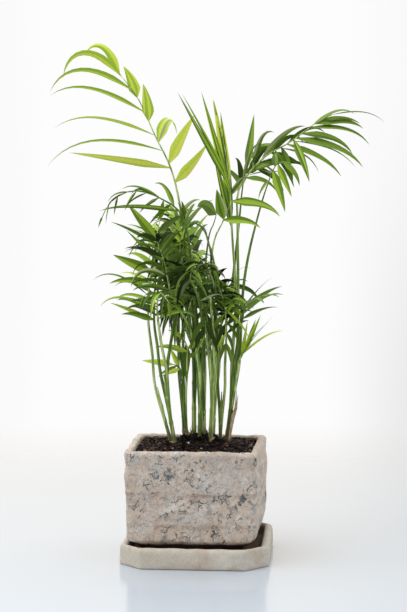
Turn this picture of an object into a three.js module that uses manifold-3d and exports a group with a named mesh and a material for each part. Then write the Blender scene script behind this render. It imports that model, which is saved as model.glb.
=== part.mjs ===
/**
 * A cat palm: a clump of young canes with arching, feathered fronds, in a hand-formed square pot on its saucer.
 * Millimetres, +Z up, the pot's front towards -Y. The origin is the middle of the saucer's flat underside.
 */
import * as THREE from "three";
import { mergeVertices } from "three/addons/utils/BufferGeometryUtils.js";
import Module from "manifold-3d";

const wasm = await Module();
wasm.setup();

// ---------------------------------------------------------------- driving sizes
const GAP = 0.3; // between pieces that meet

const SAUCER = { width: 147, depth: 151, height: 20, chamfer: 23, rim: 9, floor: 7.5, edge: 2 };
const POT = { width: 129, height: 104, wall: 9.5, floor: 12, foot: 17, taper: 1.5, lip: 1, back: 5, lean: 3.5, hand: 0.9 };
const OFF_CENTRE = -2; // the pot and its plant stand this far along X from the saucer's middle
const SOIL = { below_rim: 3, mound: 8, mound_radius: 34, crumb: 0.8 };

const POT_BASE = SAUCER.floor + GAP;
const POT_TOP = POT_BASE + POT.height;
const SOIL_TOP = POT_TOP - SOIL.below_rim;
const CANE_DEPTH = 9; // how far a cane goes down into the soil

// The clump stands a little turned in its pot: its places are [right, away from the front, up] in its own frame.
const CLUMP_TURN = 5;

// The canes of the clump: where each leaves the soil, where its tip is, and its radius low and high.
const CANES = {
  left_outer: { foot: [-24.5, -3], tip: [-39, -5, 169], base: 2.3, top: 1.9 },
  left_inner: { foot: [-21, -9], tip: [-32.5, -12, 183], base: 2.9, top: 2.3 },
  left_back: { foot: [-12.3, 14], tip: [-15, 15, 176], base: 2.0, top: 1.7 },
  left_front: { foot: [-9, 3], tip: [-13.5, 2, 172], base: 2.2, top: 1.8 },
  middle_left: { foot: [-2.3, 9], tip: [-2.5, 9, 196], base: 3.3, top: 2.7 },
  middle_front: { foot: [3.2, -6], tip: [4.4, -8, 190], base: 2.8, top: 2.4 },
  middle: { foot: [8, 4], tip: [7.5, 5, 180], base: 2.4, top: 2.1 },
  middle_right: { foot: [14.2, -11], tip: [17.4, -13, 196], base: 3.2, top: 2.7 },
  back: { foot: [4, 23], tip: [3, 27, 186], base: 2.8, top: 2.3 },
  back_right: { foot: [17, 17], tip: [19, 20, 178], base: 2.6, top: 2.2 },
  right_inner: { foot: [24, 8], tip: [25.5, 8, 163], base: 2.4, top: 2.1 },
  right_outer: { foot: [30.2, -2], tip: [39, -3, 190], base: 3.2, top: 2.7 },
};

/*
 * The fronds, [right, away, up] in mm. cane: the cane it leaves; seat: on which side of it, in degrees (0 is right,
 * 90 is away); at: how far up it. stalk: places along its bare petiole. blade: places along its feathered part, to the
 * rib's tip. pairs: pairs of leaflets, each `leaflet` long and `wide` across. spread: a low leaflet's angle from the
 * rib. roll: turn of the feathered plane about the rib. vee: fold along the rib. droop: how much a leaflet hangs over.
 * The fronds of the crown name each leaflet instead, in leaves: its share along the blade, its angle from the rib (less
 * than 0 on the low side), its length, its droop, how far its face is turned, how much it bends along the rib, and its
 * width. The leaflets of a pressed frond still lie on each other.
 */
const FRONDS = [
  { name: "crown_left", cane: "middle_left", seat: 90, stalk: [[-5, 12, 270]],
    blade: [[-21, 10, 373], [-42, 8, 422], [-58, 6, 457], [-77, 3, 482]], wide: 9, roll: 110, vee: 6,
    leaves: [
      [0.13, -62, 106, 0.05, 30, 0, 9], [0.28, -55, 126, 1.4, 65, 0, 6], [0.42, -44, 108, 1.35, 65, 0, 6],
      [0.62, -37, 103, 1.3, 55, 0, 7], [0.82, -26, 96, 2.4, 45, 0, 8], [0.97, -8, 74, 3.4, 20, 0, 9],
      [1, 5, 52, 2.8, 20, 0, 8], [0, 66, 56, 0, 10, 0.3, 9], [0.17, 54, 60, 0.2, 10, 0, 11],
      [0.36, 46, 56, 4.6, 10, 0, 8], [0.55, 28, 42, 0, 20, 1.2, 8], [0.76, 24, 38, 0.8, 20, 1.6, 8],
    ] },
  { name: "right_second", cane: "right_outer", seat: 0, stalk: [[46, 0, 256], [52, -3, 301]],
    blade: [[64, -6, 350], [73, -9, 378], [78, -14, 390], [86, -18, 393]], wide: 12, roll: 80, vee: -10,
    leaves: [
      [0.64, -126, 43, 0, 10, 0, 12], [0.88, -106, 33, 0, 20, 0.3, 8], [0.5, 158, 24, 2, 20, 0, 7],
      [1, -50, 16, 1.6, 40, 0, 6],
    ] },
  { name: "crown_right", cane: "right_outer", seat: 60, stalk: [[42, 4, 259], [41.5, 6, 330]],
    blade: [[43, 6, 368], [67, 5, 398], [94, 3, 414], [115, 2, 430], [135, 0, 441]], wide: 8, roll: 80, vee: 0,
    leaves: [
      [1, -17, 57, 1.3, 60, 0, 5], [0.9, -20, 40, 0.8, 30, 0, 6], [0.84, -26, 50, 0.7, 10, 0, 8],
      [0.78, -30, 66, 1, 30, 0, 7], [0.7, -38, 58, 1, 20, 0, 8], [0.64, -36, 76, 0.9, 20, 0, 8],
      [0.6, -41, 72, 0.9, 60, 0, 6], [0.55, -48, 66, 0.8, 30, 0, 7], [0.66, -104, 52, 0.1, 0, 0, 9],
      [0.5, -104, 32, 0.2, 30, 0, 7], [0.26, -36, 52, 0.9, 20, 0, 8], [0.16, -30, 46, 0.9, 30, 0, 8],
      [0.8, -2, 50, 2, 40, 0, 6], [0.3, 12, 58, 1.4, 20, 0, 8], [0.14, 4, 40, 2, 30, 0, 8],
      [0.4, -62, 34, 0.6, 30, 0, 8], [0.34, -100, 26, 0.6, 20, 0, 7],
    ] },
  { name: "crown_back", cane: "back_right", seat: 62, stalk: [[35, 27, 260], [43, 24, 330]],
    blade: [[47, 25, 370], [53, 30, 396], [62, 40, 408]], wide: 9, roll: 80, vee: 10,
    leaves: [
      [0.32, 8, 52, 0, 0, 0, 10], [1, 16, 30, 0, 50, 0, 5], [0.3, -44, 32, 0.6, 0, 0, 9],
      [0.7, -20, 36, 0.9, 0, 0, 9], [0, 60, 32, 0.4, 10, 0, 9], [1, -20, 34, 0.8, 10, 0, 9],
    ] },
  { name: "spear", cane: "right_outer", seat: 150, stalk: [[39.5, 1, 259]], pressed: true,
    blade: [[35.5, 2, 326], [34, 1, 360], [29, 0, 405], [20, -1, 440]], wide: 6.5, roll: 80, vee: 0,
    leaves: [
      [0.38, -25, 98, 0, 30, 0, 6], [0.46, -20, 90, 0.3, 60, 0, 4], [0.54, -13, 80, 0, 60, 0, 4],
      [0.28, -12, 92, 0, 20, 0, 7], [0.14, -6, 86, 0, 10, 0, 7], [0.98, 2, 18, 0, 40, 0, 3],
      [0.2, 0, 72, 0, 50, 0, 5],
    ] },
  { name: "inner_dark", cane: "middle_right", seat: 120, stalk: [[8, 4, 262], [12, 6, 316]],
    blade: [[18, 8, 334], [20, 6, 342]], wide: 10, roll: 80, vee: 0,
    leaves: [[1, 72, 27, 0.6, 0, 0, 10], [1, -50, 20, 0.9, 0, 0, 8]] },
  { name: "inner_bright", cane: "middle_right", seat: 20, stalk: [[13, -8, 262], [17, -6, 312]],
    blade: [[26, -6, 334], [35, -7, 355]], wide: 9, roll: 80, vee: 0,
    leaves: [[1, -66, 54, 1.2, 0, 0, 9], [0.1, -62, 40, 1, 0, 0, 8], [0.3, 46, 28, 0.2, 0, 0, 12]] },
  { name: "arch_left", cane: "middle_front", seat: 200, stalk: [[-3, -14, 270]],
    blade: [[-12, -16, 336], [-36, -18, 358], [-63, -20, 365], [-84, -22, 354], [-93, -23, 338]],
    wide: 5, roll: 80, vee: 0,
    leaves: [
      [0.1, -43, 80, 0.45, 20, 0, 6], [0.3, 8, 40, 1.7, 50, 0, 4], [0.98, -8, 16, 0.3, 30, 0, 3],
      [0.84, -36, 17, 0.5, 30, 0, 3], [0.72, -46, 20, 0.7, 30, 0, 4], [0.6, -50, 22, 0.8, 30, 0, 4],
      [0.48, -56, 20, 0.7, 20, 0, 4], [0.36, -64, 24, 0.7, 20, 0, 5], [0.26, -70, 22, 0.6, 20, 0, 5],
      [0.7, 16, 22, 1.6, 40, 0, 3],
    ] },
  { name: "left_a", cane: "left_outer", seat: 180, stalk: [[-43.5, -5, 197]],
    blade: [[-48, -6, 236], [-47, -7, 270], [-42, -8, 305], [-36, -8, 338]], wide: 8, roll: 100, vee: 10,
    leaves: [
      [0.02, 62, 42, 0.2, 30, 0, 6], [0.12, 68, 54, 2.2, 50, 0, 5], [0.24, 52, 64, 2, 60, 0, 5],
      [0.33, 84, 44, 0.8, 30, 0, 7], [0.46, 74, 42, 0, 0, 0, 9], [0.62, 54, 38, 0, 40, 0, 6],
      [0.75, 70, 50, 0.3, 40, 0, 6], [0.83, 52, 36, 0, 0, 0, 10], [0.2, -60, 34, 0.8, 0, 0, 8],
      [0.42, -56, 36, 0.8, 10, 0, 8], [0.64, -50, 36, 0.8, 0, 0, 8], [0.86, -40, 34, 0.7, 10, 0, 8],
      [1, 0, 20, 0.3, 0, 0, 7],
    ] },
  { name: "left_b", cane: "left_inner", seat: 170, stalk: [[-38.5, -13, 209]],
    blade: [[-42, -11, 236], [-41, 2, 276], [-38, 16, 306], [-36, 34, 322]],
    pairs: 8, leaflet: 44, wide: 8, spread: 64, roll: 0, vee: 0, droop: 1.1 },
  { name: "left_c", cane: "left_inner", seat: 0, stalk: [[-34, -15, 209]],
    blade: [[-38, -20, 238], [-38, -36, 258], [-34, -56, 266], [-26, -76, 258]],
    pairs: 7, leaflet: 40, wide: 9, spread: 58, roll: 0, vee: 0, droop: 1.3 },
  { name: "left_low", cane: "left_front", seat: 180, facing: 180,
    blade: [[-15.6, -2, 183], [-18, -4, 189], [-24, -6, 191]],
    pairs: 2, leaflet: [34, 30], wide: 6, spread: 50, roll: 100, vee: 10, droop: 0.7 },
  { name: "left_low_high", cane: "left_front", seat: 0, facing: 180,
    blade: [[-9, 0, 196], [-9, -3, 210], [-13, -6, 222]],
    pairs: 2, leaflet: [38, 20], wide: 7, spread: 78, roll: 90, vee: 10, droop: 0.5 },
  { name: "back_left", cane: "left_back", seat: 180, stalk: [[-18, 16, 245]],
    blade: [[-20, 22, 275], [-26, 38, 302], [-38, 58, 318]],
    pairs: 7, leaflet: 46, wide: 8, spread: 56, roll: 0, vee: 14, droop: 0.7 },
  { name: "back_up", cane: "left_back", seat: 60, stalk: [[-14, 22, 245]],
    blade: [[-15, 26, 270], [-18, 40, 310], [-20, 62, 338]],
    pairs: 7, leaflet: [58, 42], wide: 8, spread: 60, roll: 0, vee: 8, droop: 0.9 },
  { name: "spike", cane: "middle_left", seat: 270, stalk: [[-8, -4, 250]],
    blade: [[-14, -7, 288], [-16, -10, 312], [-11, -11, 334]],
    pairs: 5, leaflet: 36, wide: 8.5, spread: 58, roll: 96, vee: 20, droop: 0.7 },
  { name: "leaning", cane: "middle_front", seat: 260, stalk: [[-7, -15, 230]],
    blade: [[-24, -19, 262], [-31, -28, 294], [-38, -46, 316]],
    pairs: 6, leaflet: 44, wide: 9, spread: 62, roll: 10, vee: 0, droop: 1.1 },
  { name: "front", cane: "middle_front", seat: 300, stalk: [[6, -16, 228]],
    blade: [[3, -24, 256], [0, -40, 281], [-4, -66, 290], [-6, -86, 280]],
    pairs: 7, leaflet: 42, wide: 9, spread: 60, roll: 0, vee: 0, droop: 1.2 },
  { name: "front_right", cane: "middle_right", seat: 280, stalk: [[16, -20, 228]],
    blade: [[14, -26, 260], [12, -42, 286], [10, -66, 294]],
    pairs: 6, leaflet: 40, wide: 9, spread: 60, roll: 0, vee: 0, droop: 1.2 },
  { name: "arch_right", cane: "middle", seat: 250, stalk: [[-2, -2, 260], [-12, -26, 312]],
    blade: [[-6, -30, 334], [8, -32, 326], [15, -34, 302], [22, -36, 272]],
    pairs: 7, leaflet: 34, wide: 5, spread: 40, roll: 0, vee: 0, droop: 0.8 },
  { name: "middle_up", cane: "middle", seat: 60, stalk: [[6, 12, 240]],
    blade: [[0, 14, 275], [-6, 20, 305], [-20, 34, 332]],
    pairs: 7, leaflet: 44, wide: 8, spread: 60, roll: 0, vee: 6, droop: 1.0 },
  { name: "back_middle", cane: "back", seat: 130, stalk: [[0, 36, 240]],
    blade: [[-4, 44, 275], [-12, 58, 302], [-24, 78, 312]],
    pairs: 7, leaflet: 44, wide: 9, spread: 60, roll: 0, vee: 6, droop: 1.1 },
  { name: "back_arch", cane: "back", seat: 20, stalk: [[7, 34, 225]],
    blade: [[8, 40, 250], [6, 56, 280], [2, 80, 290]],
    pairs: 7, leaflet: 42, wide: 8, spread: 58, roll: 0, vee: 6, droop: 1.1 },
  { name: "back_low", cane: "back_right", seat: 130, stalk: [[18, 33, 215]],
    blade: [[21, 42, 236], [22, 58, 256], [22, 80, 260]],
    pairs: 6, leaflet: 40, wide: 9, spread: 60, roll: 0, vee: 6, droop: 1.2 },
  { name: "right_hang", cane: "back_right", seat: 0, stalk: [[25, 20, 225]],
    blade: [[27, 19, 255], [31, 15, 270], [39, 12, 262]],
    pairs: 5, leaflet: 36, wide: 9, spread: 60, roll: 0, vee: 0, droop: 1.3 },
  { name: "right_inner_up", cane: "right_inner", seat: 170, stalk: [[21, 6, 205]],
    blade: [[20, 0, 235], [16, -8, 262], [8, -20, 280]],
    pairs: 6, leaflet: 38, wide: 9, spread: 60, roll: 0, vee: 0, droop: 1.1 },
  { name: "right_inner_small", cane: "right_inner", seat: 10, stalk: [[29, 8, 190]],
    blade: [[30, 4, 214], [30, -2, 236], [28, -14, 250]],
    pairs: 4, leaflet: 30, wide: 7, spread: 50, roll: 0, vee: 0, droop: 1.2 },
  { name: "right_star", cane: "right_outer", seat: 250, stalk: [[43, -10, 226]],
    blade: [[46, -13, 238], [47, -18, 248], [48, -32, 254]],
    pairs: 5, leaflet: 42, wide: 8, spread: 76, roll: 0, vee: 20, droop: 0.6, facing: 270 },
  { name: "right_fan", cane: "right_outer", seat: 310, stalk: [[43, -8, 197]],
    blade: [[44, -9, 199], [48, -10, 207], [53, -11, 217]],
    pairs: 4, leaflet: 50, wide: 6, spread: 24, roll: 60, vee: 10, droop: 0.2 },
];

// Young fronds are yellow-green and old ones deep green.
const TONES = {};
for (const name of ["crown_left", "spear", "left_low", "left_low_high", "right_fan"]) TONES[name] = "leaf_young";
for (const name of ["crown_right", "crown_back", "inner_dark", "arch_left", "left_c", "leaning", "front", "front_right",
  "arch_right", "middle_up", "back_arch", "right_hang", "right_inner_up", "right_inner_small"]) TONES[name] = "leaf_dark";

const HABIT = { seat: 0, at: 1, stalk: [], close: 0.42, roll: 0, vee: 0, droop: 0.8, curl: 1.4, taper: 0.8 };
const RIB_STEPS = 9;
const LEAF_STEPS = 12;
const RIB = { foot: 1.4, tip: 0.75 };

// ---------------------------------------------------------------- small helpers
const rad = THREE.MathUtils.degToRad;
const { lerp, clamp, smoothstep } = THREE.MathUtils;

/** A repeatable number from -1 to 1 for a whole number k. */
function chance(k) {
  const x = Math.sin(k * 12.9898 + 4.1414) * 43758.5453;
  return 2 * (x - Math.floor(x)) - 1;
}

/** A three.js geometry as a solid, its shared corners merged. */
function solidOf(geometry) {
  const bare = geometry.clone();
  for (const name of Object.keys(bare.attributes)) {
    if (name !== "position") bare.deleteAttribute(name);
  }
  const merged = mergeVertices(bare, 1e-4);
  return new wasm.Manifold(
    new wasm.Mesh({
      numProp: 3,
      vertProperties: merged.getAttribute("position").array,
      triVerts: new Uint32Array(merged.index.array),
    }),
  );
}

/** A solid as a three.js geometry, without the slivers that a cut or join can leave. */
function geometryOf(solid) {
  const mesh = solid.getMesh();
  const whole = new THREE.BufferGeometry();
  whole.setAttribute("position", new THREE.BufferAttribute(mesh.vertProperties, 3));
  whole.setIndex(new THREE.BufferAttribute(mesh.triVerts, 1));
  const geometry = mergeVertices(whole, 2e-3);
  const corners = geometry.index.array;
  const kept = new Map();
  for (let i = 0; i < corners.length; i += 3) {
    const [a, b, c] = corners.slice(i, i + 3);
    if (a === b || b === c || c === a) continue;
    const key = [a, b, c].sort((p, q) => p - q).join();
    if (!kept.delete(key)) kept.set(key, [a, b, c]); // two faces on the same corners are a closed flap
  }
  geometry.setIndex([...kept.values()].flat());
  geometry.computeVertexNormals();
  return geometry;
}

/** Moves every vertex of a geometry by a rule. */
function reshape(geometry, rule) {
  const position = geometry.getAttribute("position");
  const v = new THREE.Vector3();
  for (let i = 0; i < position.count; i++) {
    v.fromBufferAttribute(position, i);
    rule(v);
    position.setXYZ(i, v.x, v.y, v.z);
  }
  return geometry;
}

/**
 * An upright cylinder or cone of unit radius bent along stations, each { at, along, across, half, thick }.
 * section maps a point of the unit circle to a share of half and of thick.
 */
function limb(stations, sides, section, pointed = false) {
  const rows = stations.length - 1;
  const blank = new THREE.CylinderGeometry(pointed ? 0 : 1, 1, 1, sides, rows);
  return reshape(blank, (v) => {
    const here = stations[Math.round((v.y + 0.5) * rows)];
    const r = Math.hypot(v.x, v.z);
    const [a, b] = section(r > 1e-6 ? v.x / r : 0, r > 1e-6 ? v.z / r : 0);
    const up = here.across.clone().cross(here.along);
    v.copy(here.at).addScaledVector(here.across, a * here.half).addScaledVector(up, b * here.thick);
  });
}

const ROUND = (x, y) => [x, y];
const RIDGED = (x, y) => [x / Math.sin(rad(120)), (y + 0.5) / 1.5 - 0.35];

// ---------------------------------------------------------------- pot, saucer and soil
/** A square with cut corners. */
function octagon(width, depth, chamfer) {
  const [w, d] = [width / 2, depth / 2];
  const [v, c] = [w - chamfer, d - chamfer];
  const shape = new THREE.Shape();
  shape.setFromPoints([
    [w, -c], [w, c], [v, d], [-v, d], [-w, c], [-w, -c], [-v, -d], [v, -d],
  ].map(([x, y]) => new THREE.Vector2(x, y)));
  return shape;
}

function saucer() {
  const { width, depth, height, chamfer, rim, floor, edge } = SAUCER;
  const bevel = { bevelEnabled: true, bevelSize: edge, bevelThickness: edge, bevelSegments: 2, bevelOffset: -edge };
  const outer = new THREE.ExtrudeGeometry(octagon(width, depth, chamfer), { ...bevel, depth: height - 2 * edge });
  outer.translate(0, 0, edge);
  const room = octagon(width - 2 * rim, depth - 2 * rim, chamfer - rim * 1.2);
  const well = new THREE.ExtrudeGeometry(room, { ...bevel, depth: height });
  well.translate(0, 0, floor + edge);
  return geometryOf(solidOf(outer).subtract(solidOf(well)));
}

/** Half the pot's width at a height above its base: it tapers down, its lip swells and its foot rounds under. */
function potHalf(z) {
  const { width, height, taper, lip, foot } = POT;
  const share = clamp(z / height, 0, 1);
  const rounded = foot - Math.sqrt(Math.max(0, foot * foot - Math.max(0, foot - z) ** 2));
  const neck = lip * Math.exp(-(((height - z - 14) / 7) ** 2));
  return width / 2 - taper * (1 - share) - neck - rounded * 0.8;
}

/** The pot is formed by hand: wider at the back, drawn in low on its right, and a little uneven all over. */
function handmade(v) {
  const { width, back, lean, hand } = POT;
  const uneven = Math.sin(v.x * 0.071 + v.z * 0.043 + 1) + Math.sin(v.y * 0.083 - v.z * 0.06) * Math.cos(v.x * 0.05 + 2);
  const swell = 1 + (hand * uneven) / width;
  v.x *= swell + (back / width) * (0.5 + v.y / width) * smoothstep(v.z, 8, 45);
  v.y *= swell;
  v.x -= lean * smoothstep(v.x, 0, width / 2) * (1 - smoothstep(v.z, 0, 50));
}

/** A block of square plan with soft corners: half(z) is its half width, and a higher corner(z) is a sharper corner. */
function softBlock(height, half, across, up, corner) {
  const block = new THREE.BoxGeometry(2, 2, height, across, across, up);
  block.translate(0, 0, height / 2);
  return reshape(block, (v) => {
    v.x = Math.sign(v.x) * (1 - (1 - Math.abs(v.x)) ** 2);
    v.y = Math.sign(v.y) * (1 - (1 - Math.abs(v.y)) ** 2);
    const h = half(v.z);
    const reach = Math.max(Math.abs(v.x), Math.abs(v.y));
    const n = corner(v.z);
    const round = reach > 0 ? reach / (Math.abs(v.x) ** n + Math.abs(v.y) ** n) ** (1 / n) : 1;
    v.x *= h * round;
    v.y *= h * round;
  });
}

function potSolids() {
  const outer = reshape(softBlock(POT.height, potHalf, 6, 8, (z) => lerp(5, 36, smoothstep(z, 4, 44))), handmade);
  outer.translate(OFF_CENTRE, 0, POT_BASE);
  return { outer: solidOf(outer), cavity: solidOf(room(POT.height - POT.floor + 6, 0)) };
}

/** The inside of the pot, filled up to a height above its floor: straight walls that open out a little. */
function room(deep, clear) {
  const low = POT.width / 2 - POT.wall - 7;
  const half = (z) => low + z * 0.06 - clear;
  const block = softBlock(deep, half, 6, 1, () => 16);
  reshape(block, (v) => {
    v.x *= 1 + (POT.back / POT.width) * (0.5 + v.y / POT.width);
  });
  return block.translate(OFF_CENTRE, 0, POT_BASE + POT.floor + clear);
}

/** Height of the soil's surface. */
function soilHeight(x, y) {
  const hill = SOIL.mound * Math.exp(-((Math.hypot(x - OFF_CENTRE - 3, (y - 2) * 1.25) / SOIL.mound_radius) ** 2));
  return SOIL_TOP - 1 + hill + SOIL.crumb * Math.sin(x * 0.31 + 1) * Math.cos(y * 0.27);
}

function soil() {
  const deep = SOIL_TOP - POT_BASE - POT.floor - GAP;
  const fill = room(deep, GAP);
  reshape(fill, (v) => {
    if (v.z > POT_BASE + POT.floor + deep / 2) v.z = soilHeight(v.x, v.y);
  });
  let solid = solidOf(fill);
  for (const cane of Object.values(CANES)) solid = solid.subtract(solidOf(caneGeometry(cane, GAP)));
  return geometryOf(solid);
}

// ---------------------------------------------------------------- lines in the clump
/** A place of the clump's own frame in the part's frame. */
function placed([right, away, up]) {
  const place = new THREE.Vector3(right, away, up).applyAxisAngle(new THREE.Vector3(0, 0, 1), rad(CLUMP_TURN));
  place.x += OFF_CENTRE;
  return place;
}

/** A smooth line through some places, in even steps: { at, along, s }. */
function lineThrough(places, steps) {
  const curve = new THREE.CatmullRomCurve3(places, false, "catmullrom", 0.5);
  const fine = curve.getPoints(16 * (places.length - 1));
  const run = [0];
  for (let i = 1; i < fine.length; i++) run.push(run[i - 1] + fine[i].distanceTo(fine[i - 1]));
  const line = [];
  for (let i = 0; i <= steps; i++) {
    const s = i / steps;
    const want = s * run[run.length - 1];
    let k = 1;
    while (k < run.length - 1 && run[k] < want) k++;
    const t = clamp((want - run[k - 1]) / (run[k] - run[k - 1]), 0, 1);
    line.push({ at: fine[k - 1].clone().lerp(fine[k], t), s });
  }
  line.forEach((place, i) => {
    const from = line[Math.max(0, i - 1)].at;
    const to = line[Math.min(steps, i + 1)].at;
    place.along = to.clone().sub(from).normalize();
  });
  line.share = (n) => run[16 * n] / run[run.length - 1];
  line.total = run[run.length - 1];
  return line;
}

/** A level direction across another one. */
function sideways(along) {
  const flat = new THREE.Vector3(-along.y, along.x, 0);
  return flat.lengthSq() > 1e-8 ? flat.normalize() : new THREE.Vector3(0, 1, 0);
}

// ---------------------------------------------------------------- canes
/** The line of a cane from inside the soil to its tip: it leaves the soil leaning and straightens a little. */
function caneLine(cane) {
  const foot = placed([...cane.foot, 0]);
  foot.z = soilHeight(foot.x, foot.y);
  const tip = placed(cane.tip);
  const root = foot.clone().addScaledVector(tip.clone().sub(foot).normalize(), -CANE_DEPTH);
  return lineThrough([root, root.clone().lerp(tip, 0.5).lerp(new THREE.Vector3(tip.x, tip.y, root.z), 0.06), tip], 4);
}

function caneGeometry(cane, clear = 0) {
  const line = caneLine(cane);
  const stations = line.map(({ at, along, s }) => {
    const radius = lerp(cane.base, cane.top, s) + clear;
    return { at: at.clone(), along, across: sideways(along), half: radius, thick: radius };
  });
  if (clear > 0) {
    stations[0].at.addScaledVector(stations[0].along, -clear);
    stations[4].at.addScaledVector(stations[4].along, clear);
  }
  return limb(stations, 8, ROUND);
}

// ---------------------------------------------------------------- fronds
/** Where a frond leaves its cane: 0.3 mm clear of its side. */
function seatOf(frond, cane) {
  const line = caneLine(cane);
  const [from, to] = [line[0].at, line[line.length - 1].at];
  const out = lerp(cane.base, cane.top, frond.at) + RIB.foot + GAP;
  const angle = rad(frond.seat + CLUMP_TURN);
  const spot = from.clone().lerp(to, frond.at);
  return spot.add(new THREE.Vector3(Math.cos(angle) * out, Math.sin(angle) * out, 0));
}

/** The rib: from beside its cane up the petiole and out along the blade. */
function ribLine(frond, cane) {
  const places = [seatOf(frond, cane), ...frond.stalk.map(placed), ...frond.blade.map(placed)];
  const line = lineThrough(places, RIB_STEPS);
  line.bare = line.share(1 + frond.stalk.length);
  const lean = places[places.length - 1].clone().sub(places[1 + frond.stalk.length]);
  const facing = frond.facing === undefined ? Math.atan2(lean.y, lean.x) : rad(frond.facing + CLUMP_TURN);
  line.level = new THREE.Vector3(-Math.sin(facing), Math.cos(facing), 0);
  return line;
}

/** A place on the rib at a share of its whole length. */
function onRib(line, share) {
  const where = clamp(share, 0, 1) * RIB_STEPS;
  const i = Math.min(Math.floor(where), RIB_STEPS - 1);
  const t = where - i;
  return {
    at: line[i].at.clone().lerp(line[i + 1].at, t),
    along: line[i].along.clone().lerp(line[i + 1].along, t).normalize(),
  };
}

function ribGeometry(frond, line) {
  const stations = line.map(({ at, along, s }) => {
    const radius = lerp(RIB.foot, RIB.tip, s);
    return { at, along, across: sideways(along), half: radius, thick: radius };
  });
  return limb(stations, 4, ROUND);
}

/** Share of its full width that a leaflet has at a share u of its length. */
function leafletWidth(u) {
  return Math.min(1, 0.1 + 3.6 * u) * Math.sqrt(Math.max(0, 1 - u ** 1.9));
}

/** Each leaflet of a frond: by the frond's habit, in pairs from the tip down, or as it names them. */
function leafletsOf(frond) {
  if (frond.leaves) {
    return frond.leaves.map(([share, spread, long, droop, face, hug, wide]) => {
      const side = spread < 0 ? -1 : 1;
      return { share, side, spread: Math.abs(spread), vee: frond.vee, long, droop, face, twist: 0, hug, wide };
    });
  }
  const last = frond.pairs - 1;
  const list = [];
  for (let number = last; number >= 0; number--) {
    for (const side of [1, -1]) {
      const f = last > 0 ? number / last : 1;
      const k = (frond.seed * 97 + number * 2 + (side > 0 ? 1 : 0)) * 5;
      const size = frond.leaflet[side > 0 ? 1 : 0] ?? frond.leaflet;
      list.push({
        share: f + (side < 0 ? (0.6 * (1 - f)) / last : 0),
        side,
        spread: lerp(frond.spread, frond.spread * frond.close, f) + 3 * chance(k),
        vee: frond.vee + 5 * chance(k + 1),
        long: size * (0.9 + 0.14 * Math.sin(Math.PI * f)) * lerp(1, frond.taper, f ** 3) * (1 + 0.07 * chance(k + 2)),
        droop: frond.droop * lerp(1, frond.curl, f) * (1 + 0.25 * chance(k + 3)),
        face: 0,
        twist: 16 * chance(k + 4),
        hug: 0,
        wide: frond.wide,
      });
    }
  }
  return list;
}

/** The stations of one leaflet, from inside the rib to its tip. */
function leafletLine(frond, line, leaflet, [turn, tilt]) {
  const { side, long } = leaflet;
  const place = onRib(line, lerp(line.bare, 1, clamp(leaflet.share, 0.01, 0.99)));
  const level = line.level.clone().addScaledVector(place.along, -line.level.dot(place.along)).normalize();
  const normal = place.along.clone().cross(level).normalize();
  const roll = rad(frond.roll);
  const out = level.clone().multiplyScalar(Math.cos(roll)).addScaledVector(normal, Math.sin(roll));
  const up = place.along.clone().cross(out);

  const spread = rad(leaflet.spread + turn);
  const vee = rad(leaflet.vee + tilt);
  const along = place.along.clone().multiplyScalar(Math.cos(spread))
    .addScaledVector(out, side * Math.sin(spread) * Math.cos(vee))
    .addScaledVector(up, Math.sin(spread) * Math.sin(vee));
  const across = place.along.clone().multiplyScalar(side);

  const at = place.at.clone();
  const stations = [];
  for (let i = 0; i <= LEAF_STEPS; i++) {
    const u = i / LEAF_STEPS;
    across.addScaledVector(along, -across.dot(along)).normalize();
    const turned = across.clone().applyAxisAngle(along, rad(leaflet.face * side + leaflet.twist * side * u));
    stations.push({ at: at.clone(), along: along.clone(), across: turned, u, long, wide: leaflet.wide });
    at.addScaledVector(along, long / LEAF_STEPS);
    along.z -= (leaflet.droop * (0.2 + 0.4 * u + 1.8 * u * u)) / LEAF_STEPS;
    along.addScaledVector(place.along, leaflet.hug / LEAF_STEPS).normalize();
  }
  return stations;
}

function leafletGeometry(stations, rows, clear = 0) {
  const picked = rows.map((row) => stations[row]);
  const thick = Math.max(1, picked[0].long * 0.0125);
  const shaped = picked.map(({ at, along, across, u, wide }) => ({
    at, along, across,
    half: (leafletWidth(u) * wide) / 2 + clear,
    thick: thick * (1 - 0.4 * u) + 2 * clear,
  }));
  return limb(shaped, 3, RIDGED, true);
}

const CLEARANCE = 0.35; // a leaflet keeps this far from everything but its own rib
const SHIFTS = [[0, 0], [8, 0], [-8, 0], [0, 14], [0, -14], [14, 14], [-14, -14], [14, -14], [0, 28], [0, -28]];
const ROWS = [0, 4, 8, 12];
const OUTER_ROWS = [1, 4, 8, 12]; // without the stalk, which its neighbours on the rib may meet

function boxesMeet(a, b) {
  return a.min.every((low, i) => low <= b.max[i] && b.min[i] <= a.max[i]);
}

function touches(solid, others) {
  const box = solid.boundingBox();
  return others.some((o) => boxesMeet(box, o.box) && !solid.intersect(o.solid).isEmpty());
}

function boxed(solid, owner) {
  return { solid, box: solid.boundingBox(), owner };
}

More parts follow.
